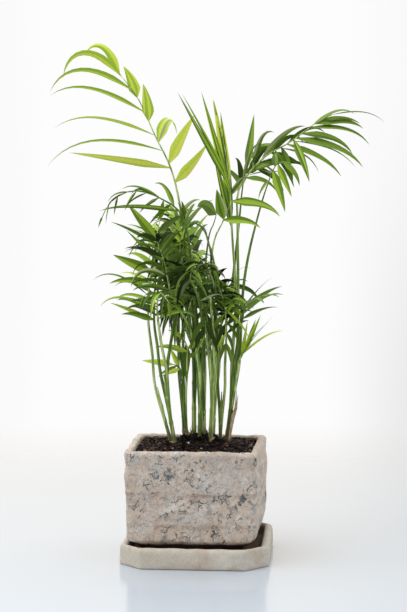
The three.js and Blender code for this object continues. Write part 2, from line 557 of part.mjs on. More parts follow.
function fronds(obstacles) {
  const grown = FRONDS.map((row, seed) => {
    const frond = { ...HABIT, seed, ...row };
    const line = ribLine(frond, CANES[frond.cane]);
    return { frond, line, rib: solidOf(ribGeometry(frond, line)) };
  });
  const standing = [...obstacles, ...grown.map(({ rib, frond }) => boxed(rib, frond.name))];
  return grown.map(({ frond, line, rib }) => {
    let whole = rib;
    for (const leaflet of leafletsOf(frond)) {
      SHIFTS.some((shift) => {
        const stations = leafletLine(frond, line, leaflet, shift);
        const wary = solidOf(leafletGeometry(stations, ROWS, CLEARANCE));
        if (touches(wary, standing.filter((o) => o.owner !== frond.name))) return false;
        const outer = solidOf(leafletGeometry(stations, OUTER_ROWS, CLEARANCE));
        const own = standing.filter((o) => o.owner === frond.name && o.leaflet);
        if (!frond.pressed && touches(outer, own)) return false;
        const solid = solidOf(leafletGeometry(stations, ROWS));
        whole = whole.add(solid);
        standing.push({ ...boxed(solid, frond.name), leaflet: true });
        return true;
      });
    }
    return { name: `frond_${frond.name}`, solid: whole, frond };
  });
}

// ---------------------------------------------------------------- the whole part
const MATERIALS = {
  clay: new THREE.MeshStandardMaterial({ color: 0xb7a99a, roughness: 0.95, metalness: 0 }),
  saucer: new THREE.MeshStandardMaterial({ color: 0xb3a797, roughness: 0.95, metalness: 0 }),
  soil: new THREE.MeshStandardMaterial({ color: 0x2b1d17, roughness: 1, metalness: 0 }),
  cane: new THREE.MeshStandardMaterial({ color: 0x6f8f48, roughness: 0.55, metalness: 0 }),
  leaf: new THREE.MeshStandardMaterial({ color: 0x4a7a24, roughness: 0.5, metalness: 0 }),
  leaf_young: new THREE.MeshStandardMaterial({ color: 0x8fb02f, roughness: 0.45, metalness: 0 }),
  leaf_dark: new THREE.MeshStandardMaterial({ color: 0x2f5522, roughness: 0.45, metalness: 0 }),
};

function piece(name, geometry, material) {
  const mesh = new THREE.Mesh(geometry, material);
  mesh.name = name;
  return mesh;
}

const palm = new THREE.Group();
palm.name = "cat_palm";
const { outer, cavity } = potSolids();
palm.add(piece("saucer", saucer(), MATERIALS.saucer));
palm.add(piece("pot", geometryOf(outer.subtract(cavity)), MATERIALS.clay));
palm.add(piece("soil", soil(), MATERIALS.soil));
const caneSolids = Object.entries(CANES).map(([name, cane]) => boxed(solidOf(caneGeometry(cane)), `cane_${name}`));
for (const { solid, owner } of caneSolids) palm.add(piece(owner, geometryOf(solid), MATERIALS.cane));
for (const { name, solid, frond } of fronds(caneSolids)) {
  palm.add(piece(name, geometryOf(solid), MATERIALS[TONES[frond.name] ?? "leaf"]));
}

export default palm;
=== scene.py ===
"""A cat palm in a square, hand-formed clay pot on its saucer, dressed round its fixed frame.

Sizes are millimetres in the tables below and metres in Blender. +Z is up and the pot's front is towards -Y.
"""

import math
from collections import namedtuple
from functools import reduce
from types import SimpleNamespace

import bmesh
import bpy
from bpy.props import FloatProperty, FloatVectorProperty, IntProperty, PointerProperty
from mathutils import Color, Matrix, Vector, noise
from mathutils.bvhtree import BVHTree


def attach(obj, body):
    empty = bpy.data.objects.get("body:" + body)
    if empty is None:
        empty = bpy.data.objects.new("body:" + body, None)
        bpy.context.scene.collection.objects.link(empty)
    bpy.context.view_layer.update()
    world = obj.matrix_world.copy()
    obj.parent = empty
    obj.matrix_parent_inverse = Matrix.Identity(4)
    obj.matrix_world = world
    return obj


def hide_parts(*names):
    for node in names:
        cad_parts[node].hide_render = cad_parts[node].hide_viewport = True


bl_info = {
    "name": "Cat palm in a square pot",
    "version": (1, 0, 0),
    "blender": (4, 5, 0),
    "location": "3D Viewport > Sidebar > Cat palm",
    "description": "Grows a young clumping palm in a rustic clay pot on a saucer",
    "category": "Object",
}

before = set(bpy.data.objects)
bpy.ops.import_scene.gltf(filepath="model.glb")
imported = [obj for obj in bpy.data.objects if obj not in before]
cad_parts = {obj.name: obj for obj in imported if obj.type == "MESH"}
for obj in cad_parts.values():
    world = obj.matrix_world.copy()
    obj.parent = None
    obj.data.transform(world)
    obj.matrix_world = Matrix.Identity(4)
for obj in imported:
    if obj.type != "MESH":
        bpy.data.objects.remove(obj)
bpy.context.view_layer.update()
BODY = "root"
MM = 0.001


def paint(red, green, blue):
    """A colour given as screen values of 0 to 255, as the linear colour that a material takes."""
    return tuple(((c / 255 + 0.055) / 1.055) ** 2.4 for c in (red, green, blue))


def colour(name, description, *screen):
    """A colour that a user may change."""
    return FloatVectorProperty(
        name=name, description=description, subtype="COLOR", size=3, min=0, max=1, default=paint(*screen)
    )


def length(name, description, mm):
    """A length that a user may change."""
    return FloatProperty(
        name=name, description=description, unit="LENGTH", min=0, precision=4, default=mm * MM
    )


def amount(name, description, default, **limits):
    """A plain number that a user may change."""
    return FloatProperty(name=name, description=description, default=default, min=0, **limits)


# ---------------------------------------------------------------- what a user may change
class SaucerSizes(bpy.types.PropertyGroup):
    """Sizes of the saucer."""

    width: length("Width", "Across the saucer, from left to right", 147)
    depth: length("Depth", "Across the saucer, from front to back", 151)
    height: length("Height", "From the table to the top of the rim", 20)
    cut: length("Cut corner", "How much each corner of the square is cut off", 23)
    rim: length("Rim", "Width of the rim round the well", 9)
    floor: length("Well floor", "Height of the well's floor", 7.5)
    lumps: length("Lumps", "Height of the unevenness that the hands left", 0.7)


class PotSizes(bpy.types.PropertyGroup):
    """Sizes of the pot."""

    width: length("Width", "Across the pot below its rim", 129)
    height: length("Height", "From the pot's foot to its rim", 104)
    wall: length("Wall", "Thickness of the wall at the rim", 9.5)
    floor: length("Floor", "Thickness of the floor", 12)
    foot: length("Foot", "Height of the part that is drawn in under the pot", 19)
    foot_inset: length("Foot inset", "How far the pot is drawn in at its base", 13.6)
    taper: length("Taper", "How much less the half width is at the foot", 1.5)
    neck: length("Neck", "Depth of the waist under the rim", 1)
    back: length("Wider back", "How much wider the pot is at its back", 7.5)
    lean: length("Drawn in", "How far the right side is drawn in at the foot", 3.5)
    hand: length("Uneven", "Size of the wide swellings", 0.9)
    lip_round: length("Lip rounding", "Radius of the outer edge of the rim", 3.4)
    lumps: length("Lumps", "Height of the lumps that the fingers left", 1.25)
    flare: length("Flare", "How much wider the inside is at the rim", 4)


class PlantSizes(bpy.types.PropertyGroup):
    """Sizes of the soil, stems and leaves."""

    below_rim: length("Soil below rim", "How far the soil lies below the rim", 3)
    mound: length("Mound", "Height of the soil's mound round the stems", 9.5)
    mound_radius: length("Mound radius", "Radius of that mound", 34)
    bark_chips: IntProperty(
        name="Bark chips", description="Loose chips on the soil", default=3400, min=0, max=5000
    )
    rib_foot: length("Rib at its foot", "Radius of a leaf stalk where it leaves its stem", 1.4)
    rib_tip: length("Rib at its tip", "Radius of a rib at its tip", 0.4)
    stem_ring: length("Stem rings", "Height of the rings on the stems", 0.3)
    leaf_fold: amount("Leaf fold", "Depth of a leaflet's fold as a share of its half width", 0.34, max=1)


class Finishes(bpy.types.PropertyGroup):
    """Colours of the clay, the soil, the stems and the leaves."""

    clay: colour("Clay", "Body of the pot", 214, 196, 179)
    clay_pale: colour("Clay, pale", "Pale slip on the pot", 234, 225, 215)
    clay_warm: colour("Clay, warm", "Warm patches on the pot", 204, 178, 158)
    clay_grey: colour("Clay, grey", "Cool grey patches on the pot", 184, 184, 184)
    clay_bleached: colour("Clay, bleached", "Ashen places on the pot", 212, 212, 206)
    clay_blue: colour("Clay, blue grey", "Blue grey stains", 66, 86, 98)
    # Painted shadow: the brown line under the pot's coil seams stands for the shade below each ledge.
    clay_brown: colour("Clay, brown", "Brown along the seams of the pot's coils", 152, 118, 92)
    # The cracks are drawn in this dark colour: dirt, and painted shade in their crevices.
    crack: colour("Cracks", "Dirt in the cracks of the clay", 38, 26, 17)
    saucer: colour("Saucer", "Body of the saucer", 196, 188, 175)
    saucer_pale: colour("Saucer, pale", "Pale slip on the saucer", 206, 200, 189)
    saucer_warm: colour("Saucer, warm", "Warm patches on the saucer", 188, 171, 153)
    saucer_grey: colour("Saucer, grey", "Cool patches on the saucer", 187, 184, 177)
    # Partly painted shade: the saucer's well and the inside of the pot's rim are darker for moist clay and
    # for the shade there.
    damp: colour("Damp clay", "Clay in the well and inside the rim", 98, 72, 52)
    # Partly painted shadow: the dark band under the pot's foot is soaked clay and the shade in the gap over
    # the saucer.
    wet_shadow: colour("Wet clay", "Clay under the pot's foot", 54, 32, 19)
    soil: colour("Soil", "Potting mix", 9, 6, 5)
    soil_pale: colour("Soil, pale", "Dry crumbs of the potting mix", 38, 27, 22)
    stem: colour("Stem", "Green stems", 112, 144, 52)
    # Partly a painted highlight: the pale streaks and pale canes stand for light on the stems.
    stem_pale: colour("Stem, pale", "Pale streaks of the stems", 200, 216, 140)
    # Painted shade: the deep green stands for stems in the shade further in.
    stem_deep: colour("Stem, deep", "Stems that stand further in", 72, 98, 30)
    stem_foot: colour("Stem foot", "Stems where they leave the soil", 92, 84, 54)
    husk: colour("Dry sheath", "Dry sheaths at the foot of the stems", 204, 178, 146)
    husk_dark: colour("Dry sheath, dark", "Veins of the dry sheaths", 134, 98, 72)
    # Partly painted sheen: silver is the leaflets' pale undersides and a painted highlight where they bend.
    silver: colour("Leaf, silver", "Pale undersides and sheen of leaflets", 158, 168, 118)
    lemon: colour("Leaf, lemon", "Youngest leaflets", 230, 236, 92)
    bright: colour("Leaf, bright", "Young leaflets", 200, 220, 72)
    # Painted light: the next green stands for leaflets that catch the light.
    lit_green: colour("Leaf, fresh", "Leaflets that catch the light", 156, 188, 50)
    green: colour("Leaf, green", "Ordinary leaflets", 106, 138, 28)
    deep: colour("Leaf, deep", "Old leaflets", 76, 104, 18)
    # Painted shade: dark and shade stand for leaflets in the shade inside the clump.
    dark: colour("Leaf, dark", "Leaflets inside the clump", 48, 66, 12)
    shade: colour("Leaf, shade", "Leaflets deep in the clump", 24, 34, 6)


class Studio(bpy.types.PropertyGroup):
    """The studio round the object."""

    floor: colour("Floor", "Colour of the glossy floor", 191, 203, 215)
    floor_shine: colour("Floor shine", "Tint of what the floor mirrors", 255, 237, 214)
    floor_radius: length("Floor radius", "Radius of the floor before it runs out to white", 446)
    from_behind: amount("From behind", "Light from the white wall behind", 1.15)
    from_front: amount("From the front", "Light from the room in front", 0.55)
    from_above: amount("From above", "Light from the ceiling", 1.0)
    softbox: amount("Softbox", "Power of the soft lamp above", 9, unit="POWER")


# ---------------------------------------------------------------- the clump's own tables
OFF_CENTRE = -2  # the pot and its plant stand this far along X from the saucer's middle
CLUMP_TURN = 5  # degrees that the clump is turned in its pot
GAP = 0.3  # between the pot and the saucer, and between a leaf stalk and its cane
CANE_DEPTH = 9  # how far a cane goes down into the soil
CANE_STEPS = 44  # steps along a cane, a rib and a leaflet, and between two given places of any line
RIB_STEPS = 27
LEAF_STEPS = 12
FINE_STEPS = 16
CANE_SIDES = 14  # sides round a cane and round a rib
RIB_SIDES = 8
SLIM = 0.8  # how much slimmer the canes are than their solids
STALK = 1.4  # radius of a solid's leaf stalk

Cane = namedtuple("Cane", "foot tip base top")

# Where each cane leaves the soil, [right, away], its tip, [right, away, up], and its radius low and high.
CANES = {
    "left_outer": Cane((-24.5, -3), (-39, -5, 169), 2.3, 1.9),
    "left_inner": Cane((-21, -9), (-32.5, -12, 183), 2.9, 2.3),
    "left_back": Cane((-12.3, 14), (-15, 15, 176), 2.0, 1.7),
    "left_front": Cane((-9, 3), (-13.5, 2, 172), 2.2, 1.8),
    "middle_left": Cane((-2.3, 9), (-2.5, 9, 196), 3.3, 2.7),
    "middle_front": Cane((3.2, -6), (4.4, -8, 190), 2.8, 2.4),
    "middle": Cane((8, 4), (7.5, 5, 180), 2.4, 2.1),
    "middle_right": Cane((14.2, -11), (17.4, -13, 196), 3.2, 2.7),
    "back": Cane((4, 23), (3, 27, 186), 2.8, 2.3),
    "back_right": Cane((17, 17), (19, 20, 178), 2.6, 2.2),
    "right_inner": Cane((24, 8), (25.5, 8, 163), 2.4, 2.1),
    "right_outer": Cane((30.2, -2), (39, -3, 190), 3.2, 2.7),
}


class Frond:
    """One frond: its places are [right, away, up] in the clump's own frame.

    It leaves its cane on the side seat, in degrees, 0 to the right and 90 away. stalk is its bare petiole and
    blade its feathered part. The feathered part has pairs of leaflets, leaflet long and wide across, at the
    angle spread from the rib, which get closer, more bent and shorter towards the tip: close, curl and taper
    say how much. roll turns the feathered plane about the rib, vee folds it, droop lets the leaflets hang
    over, and hang lets some of them hang more. The leaflets of a pressed frond may touch each other. tone is
    its kind of green, and shades deals its colours, one word for each leaflet in turn.

    A frond of the crown names its leaflets in leaves instead: share along the blade, angle from the rib (less
    than 0 on the low side), length, droop, how far its face is turned, width, and how much it bends along the
    rib, if it does.
    """

    facing = None
    stalk = leaves = ()
    pairs = roll = vee = seed = 0
    leaflet = 40
    wide = 8
    spread = 60
    close = 0.42
    curl = 1.4
    taper = 0.8
    droop = 0.8
    hang = 2.6
    pressed = False
    tone = "green"
    shades = ""

    def __init__(self, name, cane, seat, blade, **habit):
        vars(self).update(habit, name=name, cane=cane, seat=seat, blade=blade)


FRONDS = (
    Frond("crown_left", "middle_left", 90, stalk=((-5, 12, 270),),
        blade=((-21, 10, 373), (-42, 8, 422), (-58, 6, 457), (-77, 3, 482)), wide=9, roll=110, vee=6,
        tone="young", shades="bllb fb b fb fb fb bf lb lb bsbf fbfb bfbf",
        leaves=(
            (0.13, -62, 106, 0.05, 30, 9), (0.28, -49, 128, 1.75, 65, 6), (0.42, -44, 108, 1.35, 65, 6),
            (0.62, -37, 103, 1.5, 55, 6.5), (0.82, -22, 97, 2.8, 45, 7), (0.97, -3, 78, 4.5, 20, 8),
            (1, 20, 54, 3.9, -40, 9), (0, 66, 58, 0, 10, 13, 0.3), (0.17, 54, 62, 0.2, 10, 15),
            (0.36, 46, 56, 5.6, -15, 13), (0.55, 28, 38, 0, -15, 14, 1.2), (0.76, 24, 34, 0.8, -15, 14, 1.6),
        )),
    Frond("right_second", "right_outer", 0, stalk=((46, 0, 256), (52, -3, 301)),
        blade=((64, -6, 350), (73, -9, 378), (78, -14, 390), (86, -18, 393)), wide=12, roll=80, vee=-10,
        shades="gf gf sg g dg",
        leaves=(
            (0.72, -126, 44, 0.8, 10, 10), (0.88, -96, 36, 1, 20, 8, 0.3), (0.5, 150, 24, 2, 20, 7),
            (1, -50, 30, 2.4, 40, 7), (0.8, 60, 20, 3.4, 20, 8),
        )),
    Frond("crown_right", "right_outer", 60, stalk=((42, 4, 259), (41.5, 6, 330)),
        blade=((43, 6, 368), (67, 5, 398), (94, 3, 414), (115, 2, 430), (135, 0, 441)), roll=80, tone="dark",
        shades="d gd g dg gd g dg g gfdg gd dg gd g sg dk d gd sd d gd dk g ds dg k d sgds gs s ds sg",
        leaves=(
            (1, -17, 57, 1.5, 60, 5), (0.9, -20, 40, 1.1, 30, 6), (0.84, -22, 50, 1.2, 10, 8),
            (0.78, -31, 66, 1.6, 30, 6.5), (0.7, -40, 58, 1.6, 20, 8.5), (0.64, -36, 76, 1.3, 20, 9),
            (0.6, -41, 72, 1.3, 60, 6), (0.55, -48, 66, 1.2, 30, 8), (0.62, -100, 49, 0.8, 0, 9),
            (0.5, -96, 36, 0.8, 30, 8), (0.26, -36, 52, 0.9, 20, 8), (0.16, -30, 46, 0.9, 30, 8),
            (0.8, -2, 50, 2, 40, 6), (0.3, 12, 58, 1.4, 20, 8), (0.14, 4, 40, 2, 30, 8),
            (0.4, -62, 34, 0.6, 30, 8), (0.44, -86, 43, 1, 20, 7), (0.2, 24, 50, 3.2, 30, 7),
            (0.42, 22, 40, 3.4, 50, 7), (0.22, -70, 40, 1.6, 20, 7), (0.48, -30, 50, 2.2, 60, 6),
            (0.1, -58, 36, 1.8, 30, 7), (0.36, -18, 46, 2.6, 60, 5), (0.56, 14, 44, 2.4, 40, 6),
            (0.05, 34, 30, 3, 20, 7), (0.3, -52, 44, 0.6, 70, 5), (0.13, 174, 34, 0.2, 20, 8),
            (0.12, -24, 46, 1.4, 70, 4.5), (0.2, -48, 44, 0.9, 70, 4), (0.28, -76, 30, 0.6, 60, 4.5),
            (0.06, 4, 46, 2.6, 40, 6),
        )),
    Frond("crown_back", "back_right", 62, stalk=((35, 27, 260), (43, 24, 330)),
        blade=((47, 25, 370), (53, 30, 396), (62, 40, 408)), wide=9, roll=80, vee=10, tone="dark",
        shades="gf g gd d g fg",
        leaves=(
            (0.38, 8, 58, 0, 0, 13), (1, 16, 30, 0, 50, 5), (0.3, -44, 32, 0.6, 0, 9),
            (0.7, -20, 36, 0.9, 0, 9), (0, 60, 32, 0.4, 10, 9), (1, -20, 34, 0.8, 10, 9),
        )),
    Frond("spear", "right_outer", 150, stalk=((39.5, 1, 259),),
        blade=((35.5, 2, 326), (34, 1, 360), (29, 0, 405), (20, -1, 440)), wide=6.5, roll=80, pressed=True,
        tone="young", shades="gfgd fd gfdb ldbl bdfg gdfd gdgb dg bf",
        leaves=(
            (0.38, -24, 107, 0, 20, 6.5), (0.43, -22.5, 98, 0.1, 50, 5.5), (0.32, -11.5, 105, 0, 20, 7.5),
            (0.34, -5.5, 93, 0, 0, 10), (0.37, -2, 76, 0, 20, 7.5), (0.02, -10.6, 82, 0, 10, 7.5),
            (0.03, -5, 92, 0, 20, 7), (0.06, 1, 60, 0, 20, 5), (0.98, 2, 18, 0, 40, 3),
        )),
    Frond("inner_dark", "middle_right", 120, stalk=((8, 4, 262), (12, 6, 316)),
        blade=((18, 8, 334), (20, 6, 342)), wide=10, roll=80, tone="dark", shades="dg dg",
        leaves=((1, 80, 37, 1.5, 0, 16),)),
    Frond("inner_bright", "middle_right", 20, stalk=((13, -8, 262), (17, -6, 312)),
        blade=((26, -6, 334), (35, -7, 355)), wide=9, roll=80, shades="gffg gf gdgs",
        leaves=(
            (1, -66, 54, 1.4, 0, 10), (0.1, -62, 40, 1.2, 0, 9), (0.15, 38, 31, 0.1, 0, 13.5),
        )),
    Frond("arch_left", "middle_front", 200, stalk=((-3, -14, 270),),
        blade=((-12, -16, 336), (-36, -18, 358), (-63, -20, 365), (-84, -22, 354), (-93, -23, 338)), wide=5,
        roll=80, tone="dark", shades="gfgd gd g fg dg g fd gd sg d g gf dg",
        leaves=(
            (0.1, -43, 80, 0.6, 20, 6), (0.3, 8, 44, 1.7, 50, 4), (0.98, -3, 12, 0.4, 30, 3),
            (0.85, -26, 20, 1.6, 50, 2.8), (0.74, -44, 19, 0.6, 30, 3.2), (0.66, -16, 27, 2.2, 60, 2.8),
            (0.55, -54, 23, 0.9, 30, 3.6), (0.45, -28, 30, 1.8, 40, 3.2), (0.33, -58, 26, 0.7, 20, 4.6),
            (0.62, 12, 26, 2.4, 60, 2.8), (0.2, -74, 32, 0.5, 20, 5.5), (0.16, 30, 34, 2.6, 30, 6),
            (0.4, 22, 24, 2.8, 40, 4),
        )),
    Frond("left_a", "left_outer", 180, stalk=((-43.5, -5, 197),),
        blade=((-48, -6, 236), (-47, -7, 270), (-42, -8, 305), (-36, -8, 338)), roll=100, vee=10,
        shades="f gf gd fg fg gf d gf g gd dg d g",
        leaves=(
            (0.02, 62, 42, 0.2, 30, 6), (0.12, 68, 54, 2.2, 50, 5), (0.24, 52, 64, 2, 60, 5),
            (0.37, 84, 44, 0.8, 20, 8), (0.48, 74, 42, 0, 0, 11.5), (0.62, 54, 38, 0, 40, 6),
            (0.75, 70, 50, 0.3, 40, 6), (0.8, 50, 45, 0, 0, 11), (0.2, -60, 34, 0.8, 0, 8),
            (0.42, -56, 36, 0.8, 10, 8), (0.64, -50, 36, 0.8, 0, 8), (0.86, -40, 34, 0.7, 10, 8),
            (1, 0, 20, 0.3, 0, 7),
        )),
    Frond("left_b", "left_inner", 170, stalk=((-38.5, -13, 209),),
        blade=((-42, -11, 236), (-41, 2, 276), (-38, 16, 306), (-36, 34, 322)), pairs=8, leaflet=44,
        spread=64, droop=1.1),
    Frond("left_c", "left_inner", 0, stalk=((-34, -15, 209),),
        blade=((-38, -20, 238), (-38, -36, 258), (-34, -56, 266), (-26, -76, 258)), pairs=7, wide=7.5,
        spread=58, droop=1.3, tone="dark", shades="g dg d k gd dk d fg k d sd"),
    Frond("left_low", "left_front", 180, facing=180, blade=((-15.6, 0, 183), (-18, 3, 189), (-24, 5, 191)),
        roll=90, tone="young", shades="b fb g b",
        leaves=(
            (1, -8, 33, 0.1, 0, 8), (0.5, 20, 25, 0.8, 0, 6), (0.6, -46, 24, 1, 0, 4),
            (0.3, -80, 20, 0.6, 0, 6),
        )),
    Frond("left_low_high", "left_front", 0, facing=180, blade=((-9, 1, 196), (-9, 2, 208), (-13, 3, 218)),
        roll=90, tone="young", shades="bf f b g dg",
        leaves=(
            (0.35, -70, 34, 0.9, 0, 7), (0.5, 70, 18, 0.9, 0, 6), (1, -30, 18, 0.8, 0, 5),
            (0.1, 60, 22, 0.8, 0, 6), (0.7, -158, 38, 0.1, 0, 10),
        )),
    Frond("back_left", "left_back", 180, stalk=((-18, 16, 245),),
        blade=((-20, 22, 275), (-26, 38, 302), (-38, 58, 318)), pairs=7, leaflet=46, spread=56, vee=14,
        droop=0.7),
    Frond("back_up", "left_back", 60, stalk=((-14, 22, 245),),
        blade=((-15, 26, 270), (-18, 40, 310), (-20, 62, 338)), pairs=7, leaflet=(58, 42), vee=8, droop=0.9),
    Frond("spike", "middle_left", 270, stalk=((-8, -4, 250),),
        blade=((-14, -7, 288), (-16, -10, 312), (-11, -11, 334)), pairs=5, leaflet=36, wide=8.5, spread=58,
        roll=96, vee=20, droop=0.7),
    Frond("leaning", "middle_front", 260, stalk=((-7, -15, 230),),
        blade=((-24, -19, 262), (-31, -28, 294), (-38, -46, 316)), pairs=6, leaflet=44, spread=62, roll=10,
        droop=1.3, tone="dark"),
    Frond("front", "middle_front", 300, stalk=((6, -16, 228),),
        blade=((3, -24, 256), (0, -40, 281), (-4, -66, 290), (-6, -86, 280)), pairs=7, leaflet=42, wide=7,
        droop=1.4, tone="dark", shades="d k dk x gd d k dk sd k"),
    Frond("front_right", "middle_right", 280, stalk=((16, -20, 228),),
        blade=((14, -26, 260), (12, -42, 286), (10, -66, 294)), pairs=6, wide=7, droop=1.4, tone="dark",
        shades="dk k d g k dk x d fg k"),
    Frond("arch_right", "middle", 250, stalk=((-2, -2, 260), (-12, -26, 312)),
        blade=((-6, -30, 334), (8, -32, 326), (15, -34, 302), (22, -36, 272)), pairs=7, leaflet=34, wide=5,
        spread=40, droop=0.8, tone="dark"),
    Frond("middle_up", "middle", 60, stalk=((6, 12, 240),),
        blade=((0, 14, 275), (-6, 20, 305), (-20, 34, 332)), pairs=7, leaflet=44, vee=6, droop=1,
        tone="dark"),
    Frond("back_middle", "back", 130, stalk=((0, 36, 240),),
        blade=((-4, 44, 275), (-12, 58, 302), (-24, 78, 312)), pairs=7, leaflet=44, wide=9, vee=6, droop=1.1),
    Frond("back_arch", "back", 20, stalk=((7, 34, 225),), blade=((8, 40, 250), (6, 56, 280), (2, 80, 290)),
        pairs=7, leaflet=42, spread=58, vee=6, droop=1.1, tone="dark"),
    Frond("back_low", "back_right", 130, stalk=((18, 33, 215),),
        blade=((21, 42, 236), (22, 58, 256), (22, 80, 260)), pairs=6, wide=9, vee=6, droop=1.2),
    Frond("right_hang", "back_right", 0, stalk=((25, 20, 225),),
        blade=((27, 19, 255), (31, 15, 270), (39, 12, 262)), pairs=5, leaflet=36, wide=9, droop=1.3,
        tone="dark"),
    Frond("right_inner_up", "right_inner", 170, stalk=((21, 6, 205),),
        blade=((20, 0, 235), (16, -8, 262), (8, -20, 280)), pairs=6, leaflet=38, wide=9, droop=1.1,
        tone="dark"),
    Frond("right_inner_small", "right_inner", 10, stalk=((29, 8, 190),),
        blade=((30, 4, 214), (30, -2, 236), (28, -14, 250)), pairs=4, leaflet=30, wide=7, spread=50,
        droop=1.2, tone="dark"),
    Frond("right_star", "right_outer", 250, facing=270, stalk=((43, -10, 226),),
        blade=((46, -13, 238), (47, -18, 248), (48, -32, 254)), pairs=4, leaflet=44, wide=10.5, spread=66,
        vee=34, droop=0.9, hang=0.6, shades="g fg g d gd f"),
    Frond("right_fan", "right_outer", 310, stalk=((43, -8, 197),),
        blade=((44, -9, 199), (48, -10, 207), (53, -11, 217)), wide=7, roll=80, hang=0, tone="young",
        shades="bf fb lb gf b bf",
        leaves=(
            (0.1, 2, 46, 0, 60, 8), (0.4, -4, 48, 0.1, 70, 6), (0.15, -9, 53, 0.9, 50, 9.5),
            (0.6, 8, 30, 0, 50, 5), (0.1, 18, 36, 0, 50, 5), (0.7, -14, 34, 0.6, 60, 4),
        )),
)
for number, each in enumerate(FRONDS):
    each.seed = number

# The shades that a leaflet may have and how glossy each is, a letter for each of them, and how a frond of
# each tone deals them. Some are lit and shaded copies of the leaf green: the third is painted light, dark
# and shade are painted shade, and silver is partly a painted sheen. A word of two or four letters gives a
# leaflet's halves or its four long strips a shade each, which stands partly for painted shade on one side
# of a leaflet's fold.
SHADES = {
    "lemon": 0.4, "bright": 0.4, "lit_green": 0.36, "green": 0.28, "deep": 0.22, "dark": 0.14, "shade": 0.06,
    "silver": 0.4,
}
SHADE_LETTERS = "lbfgdkxs"
DARKEST = 6
DEALS = {
    "young": "l b b f",
    "green": "g gd f dg fg d gd sg d bf dk",
    "dark": "d g dk gd d fg k sd dg k d gd x f",
}

FINER = 1.5  # leaflets grown here for each one of a frond's solid
SLIMMER = 0.76  # and their width against the solid's

# How much the leaflets of a frond may differ, either way: angles in degrees, and shares of length, droop and
# width.
VARIED = SimpleNamespace(spread=8, vee=16, face=24, twist=44, long=0.16, droop=0.5, wide=0.24)

# The dark middle of the clump, where the leaflets shade each other and are painted a step darker as
# painted shade: its centre and half its size, and the chance above which a leaflet in it is lit.
CORE = Vector((-6, 4, 272))
CORE_REACH = Vector((44, 46, 40))
LIT = 0.84

# A leaflet that would touch something is turned by these degrees, about and out of the feathered plane.
SHIFTS = ((0, 0), (8, 0), (-8, 0), (0, 14), (0, -14), (14, 14), (-14, -14), (14, -14), (0, 28), (0, -28))

# The short fronds inside the clump: their canes in turn, how many they are, the line along which their tops
# stand, and the golden turn in degrees and golden shares that keep one from the next.
INNER_CANES = (
    "middle_left", "middle", "back", "left_inner", "middle_right", "left_back", "middle_front", "back_right",
)
INNER_FRONDS = 14
INNER_LEFT = Vector((-44, 6, 324))
INNER_RIGHT = Vector((30, 2, 250))
GOLDEN_TURN = 137.5
GOLDEN_SHARE = 0.618
GOLDEN_REST = 0.382

# The open space between the clump's middle and its right canes, where no leaflet grows: how far right its
# edge is at each height.
OPEN_SPACE = ((250, 60), (275, 33), (295, 19), (315, 12), (345, 16))


def inner_fronds():
    """Short fronds that fill the clump's middle: they rise to its centre line and arch over on all sides."""
    found = []
    for number in range(INNER_FRONDS):
        cane = INNER_CANES[number % len(INNER_CANES)]
        foot = Vector(CANES[cane].tip)
        turn = math.radians(GOLDEN_TURN * number)
        out = Vector((math.cos(turn), math.sin(turn), 0)) * (12 + 18 * (number * GOLDEN_SHARE % 1))
        top = INNER_LEFT.lerp(INNER_RIGHT, (number * GOLDEN_REST + 0.2) % 1)
        fall = ((0.35, -14), (0.8, 0), (1.2, -14), (1.5, -38))
        blade = [top + out * share + Vector((0, 0, drop)) for share, drop in fall]
        middle = foot.lerp(blade[0], 0.5)
        found.append(Frond(
            "inner_%d" % number, cane=cane, seat=math.degrees(turn), stalk=(tuple(middle),), tone="dark",
            blade=tuple(tuple(place) for place in blade), pairs=4, leaflet=35, wide=6.4, spread=56, droop=1.7,
            seed=100 + number,
        ))
    return found


# ---------------------------------------------------------------- small helpers
def lerp(a, b, t):
    return a + (b - a) * t


def clamp(value, low=0.0, high=1.0):
    return max(low, min(high, value))


def smoothstep(value, low, high):
    t = clamp((value - low) / (high - low))
    return t * t * (3 - 2 * t)


def chance(k):
    """A repeatable number from -1 to 1 for a number k: the last digits of a steep wave."""
    pace, start, steep = 12.9898, 4.1414, 43758.5453
    x = math.sin(k * pace + start) * steep
    return 2 * (x - math.floor(x)) - 1


def in_mm(group):
    """The lengths of a property group in millimetres."""
    names = [p.identifier for p in group.bl_rna.properties if p.type == "FLOAT" and p.unit == "LENGTH"]
    return SimpleNamespace(**{name: getattr(group, name) / MM for name in names})


def heights(scene):
    """Where the pot's foot, its rim and the soil's edge are."""
    saucer = in_mm(scene.catpalm_saucer)
    pot = in_mm(scene.catpalm_pot)
    base = saucer.floor + GAP
    rim = base + pot.height
    return SimpleNamespace(base=base, rim=rim, soil=rim - in_mm(scene.catpalm_plant).below_rim)


def mesh_of(bm, name):
    """A finished shape as a mesh."""
    mesh = bpy.data.meshes.new(name)
    bm.to_mesh(mesh)
    bm.free()
    return mesh


def add_object(name, data):
    made = bpy.data.objects.new(name, data)
    bpy.context.scene.collection.objects.link(made)
    return made


def new_piece(bm, name, materials, stands_for=()):
    """Makes a finished shape a piece of the object: it rides on the body, and the CAD nodes it stands for are
    hidden.
    """
    mesh = mesh_of(bm, name)
    for material in materials:
        mesh.materials.append(material)
    piece = add_object(name, mesh)
    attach(piece, BODY)
    if stands_for:
        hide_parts(*stands_for)
    return piece


